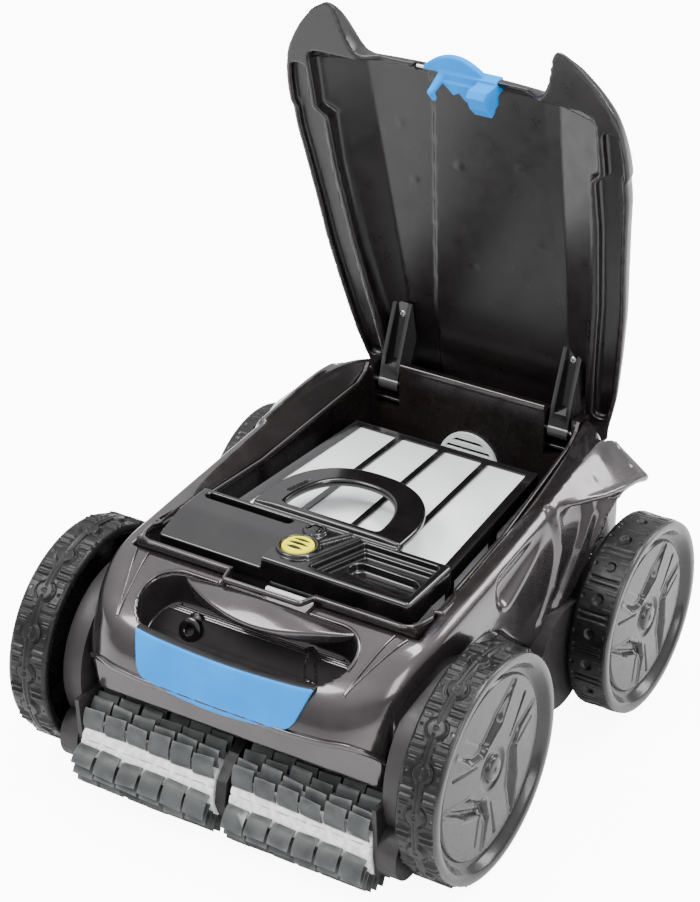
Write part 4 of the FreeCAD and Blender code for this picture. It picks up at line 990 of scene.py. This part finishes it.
def latch_form(x, y, z):
    """Latch: a block with stepped teeth, two hooked legs and a rounded tab outside the lid."""
    d = rounded_box(x, y, z, (-14, -15, 225), (43, -2, 238.5), 1.2)
    hook = [(-14, 208), (-9, 203), (4, 208), (14, 216), (12, 221), (2, 226), (-3, 232), (-12, 230)]
    leg = smax(polygon_distance(y, z, hook), np.abs(x - 34) - 9, 1)
    d = smin(d, leg, 1.5)
    small = capsule_3d(x, y, z, (-11, -10, 228), (-14, -1, 212), 4.5, 3.2)
    d = smin(smin(d, small, 1.5), capsule_3d(x, y, z, (-14, -1, 212), (-12, 5, 213), 3.2, 2.4), 1)
    teeth = polygon_distance(x, y, [(-10, -8), (43, -8), (43, 8), (26, 14), (20, 6), (14, 8), (8, 1), (2, 4),
                                    (-3, -1)])
    d = smin(d, smax(teeth, np.abs(z - 225) - 3.5, 1), 1)
    groove = np.maximum(np.abs(x - 24.5) - 0.9, np.maximum(z - 227, -y - 8))
    d = smax(d, -groove, 0.6)
    tab = smax(np.abs(z - 231) - 3.5, -(y + 14 + 15 * (1 - (x / 31) ** 2)) * 0.8, 2)
    return smin(d, np.maximum(tab, np.maximum(y + 12, np.abs(x) - 30)), 1)


def latch():
    made = moulded("latch_form", latch_form, (-34, -34, 198), (48, 20, 242), 0.9, "latch", BLUE,
                   lid=True)
    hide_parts("lid_latch")


def arm_screws():
    """Crosshead screws at the foot of each hinge arm, in the open lid."""
    for place, side in SIDES:
        def head(x, y, z, side=side):
            u, v, w = x - 90 * side, y - 359, z - 292
            d = smax(np.sqrt(u * u + w * w + 2.2 * v * v) - 4, np.hypot(u, w) - 3.8, 0.4)
            cross = np.minimum(np.maximum(np.abs(u) - 0.5, np.abs(w) - 2.2),
                               np.maximum(np.abs(w) - 0.5, np.abs(u) - 2.2))
            return smax(d, -np.maximum(cross, v + 1.6), 0.2)
        moulded("arm_screw_" + place, head, (90 * side - 5, 354, 287), (90 * side + 5, 363, 297), 0.3, "lid",
                STEEL)


# ---- floor, lights and camera ----

def floor():
    mesh = bpy.data.meshes.new("floor")
    mesh.from_pydata([(-6, -6, 0), (6, -6, 0), (6, 6, 0), (-6, 6, 0)], [], [(0, 1, 2, 3)])
    made = bpy.data.objects.new("floor", mesh)
    bpy.context.scene.collection.objects.link(made)
    finish = material("floor", (0.86, 0.86, 0.86), (0.9, 0.9, 0.9), 0.6, 0.05, 2, 200, 0.02, specular=0.2)
    nodes, links = finish.node_tree.nodes, finish.node_tree.links
    seen, glow = nodes.new("ShaderNodeLightPath"), nodes.new("ShaderNodeMath")
    glow.operation = "MULTIPLY"
    glow.inputs[1].default_value = 9.0
    links.new(seen.outputs["Is Camera Ray"], glow.inputs[0])
    nodes["Principled BSDF"].inputs["Emission Color"].default_value = (1, 1, 1, 1)
    links.new(glow.outputs[0], nodes["Principled BSDF"].inputs["Emission Strength"])
    mesh.materials.append(finish)


def area_light(name, place, target, size, power):
    data = bpy.data.lights.new(name, "AREA")
    data.shape, data.size, data.size_y, data.energy = "RECTANGLE", size[0], size[1], power
    made = bpy.data.objects.new(name, data)
    bpy.context.scene.collection.objects.link(made)
    made.location = place
    made.rotation_mode = "QUATERNION"
    made.rotation_quaternion = (Vector(target) - Vector(place)).to_track_quat("-Z", "Y")


def studio():
    world = bpy.data.worlds.new("studio")
    bpy.context.scene.world = world
    world.use_nodes = True
    nodes, links = world.node_tree.nodes, world.node_tree.links
    background = nodes["Background"]
    background.inputs["Color"].default_value = (0.96, 0.97, 1.0, 1)
    where, split, sky = (nodes.new("ShaderNode" + kind) for kind in ("TexCoord", "SeparateXYZ", "MapRange"))
    sky.inputs["From Min"].default_value, sky.inputs["From Max"].default_value = 0.0, 0.85
    sky.inputs["To Min"].default_value, sky.inputs["To Max"].default_value = 0.45, 2.2
    links.new(where.outputs["Generated"], split.inputs[0])
    links.new(split.outputs["Z"], sky.inputs["Value"])
    links.new(sky.outputs["Result"], background.inputs["Strength"])
    area_light("key", (-1.2, -1.2, 2.3), (0, 0, 0.2), (1.2, 1.2), 70)
    area_light("fill", (1.9, -0.9, 1.3), (0, 0, 0.2), (0.5, 1.6), 26)
    area_light("top", (0.2, 0.5, 2.4), (0, 0, 0.2), (1.6, 0.5), 50)
    area_light("back", (1.4, 1.8, 1.5), (0, 0.1, 0.3), (0.6, 1.6), 40)


def camera():
    data = bpy.data.cameras.new("camera")
    data.lens, data.sensor_width, data.clip_start = 109.3, 36.0, 0.05
    made = bpy.data.objects.new("camera", data)
    bpy.context.scene.collection.objects.link(made)
    made.location = metres((1072.38, -1625.85, 1452.04))
    made.rotation_mode = "QUATERNION"
    aim = Vector(metres((167.33, -155.20, 468.80))) - made.location
    made.rotation_quaternion = aim.to_track_quat("-Z", "Y")
    bpy.context.scene.camera = made


camera()
studio()
floor()
finish_cad_nodes()
wheels()
brushes()
body()
lid()
bay_rim()
filter_top()
nose_fittings()
latch()
arm_screws()
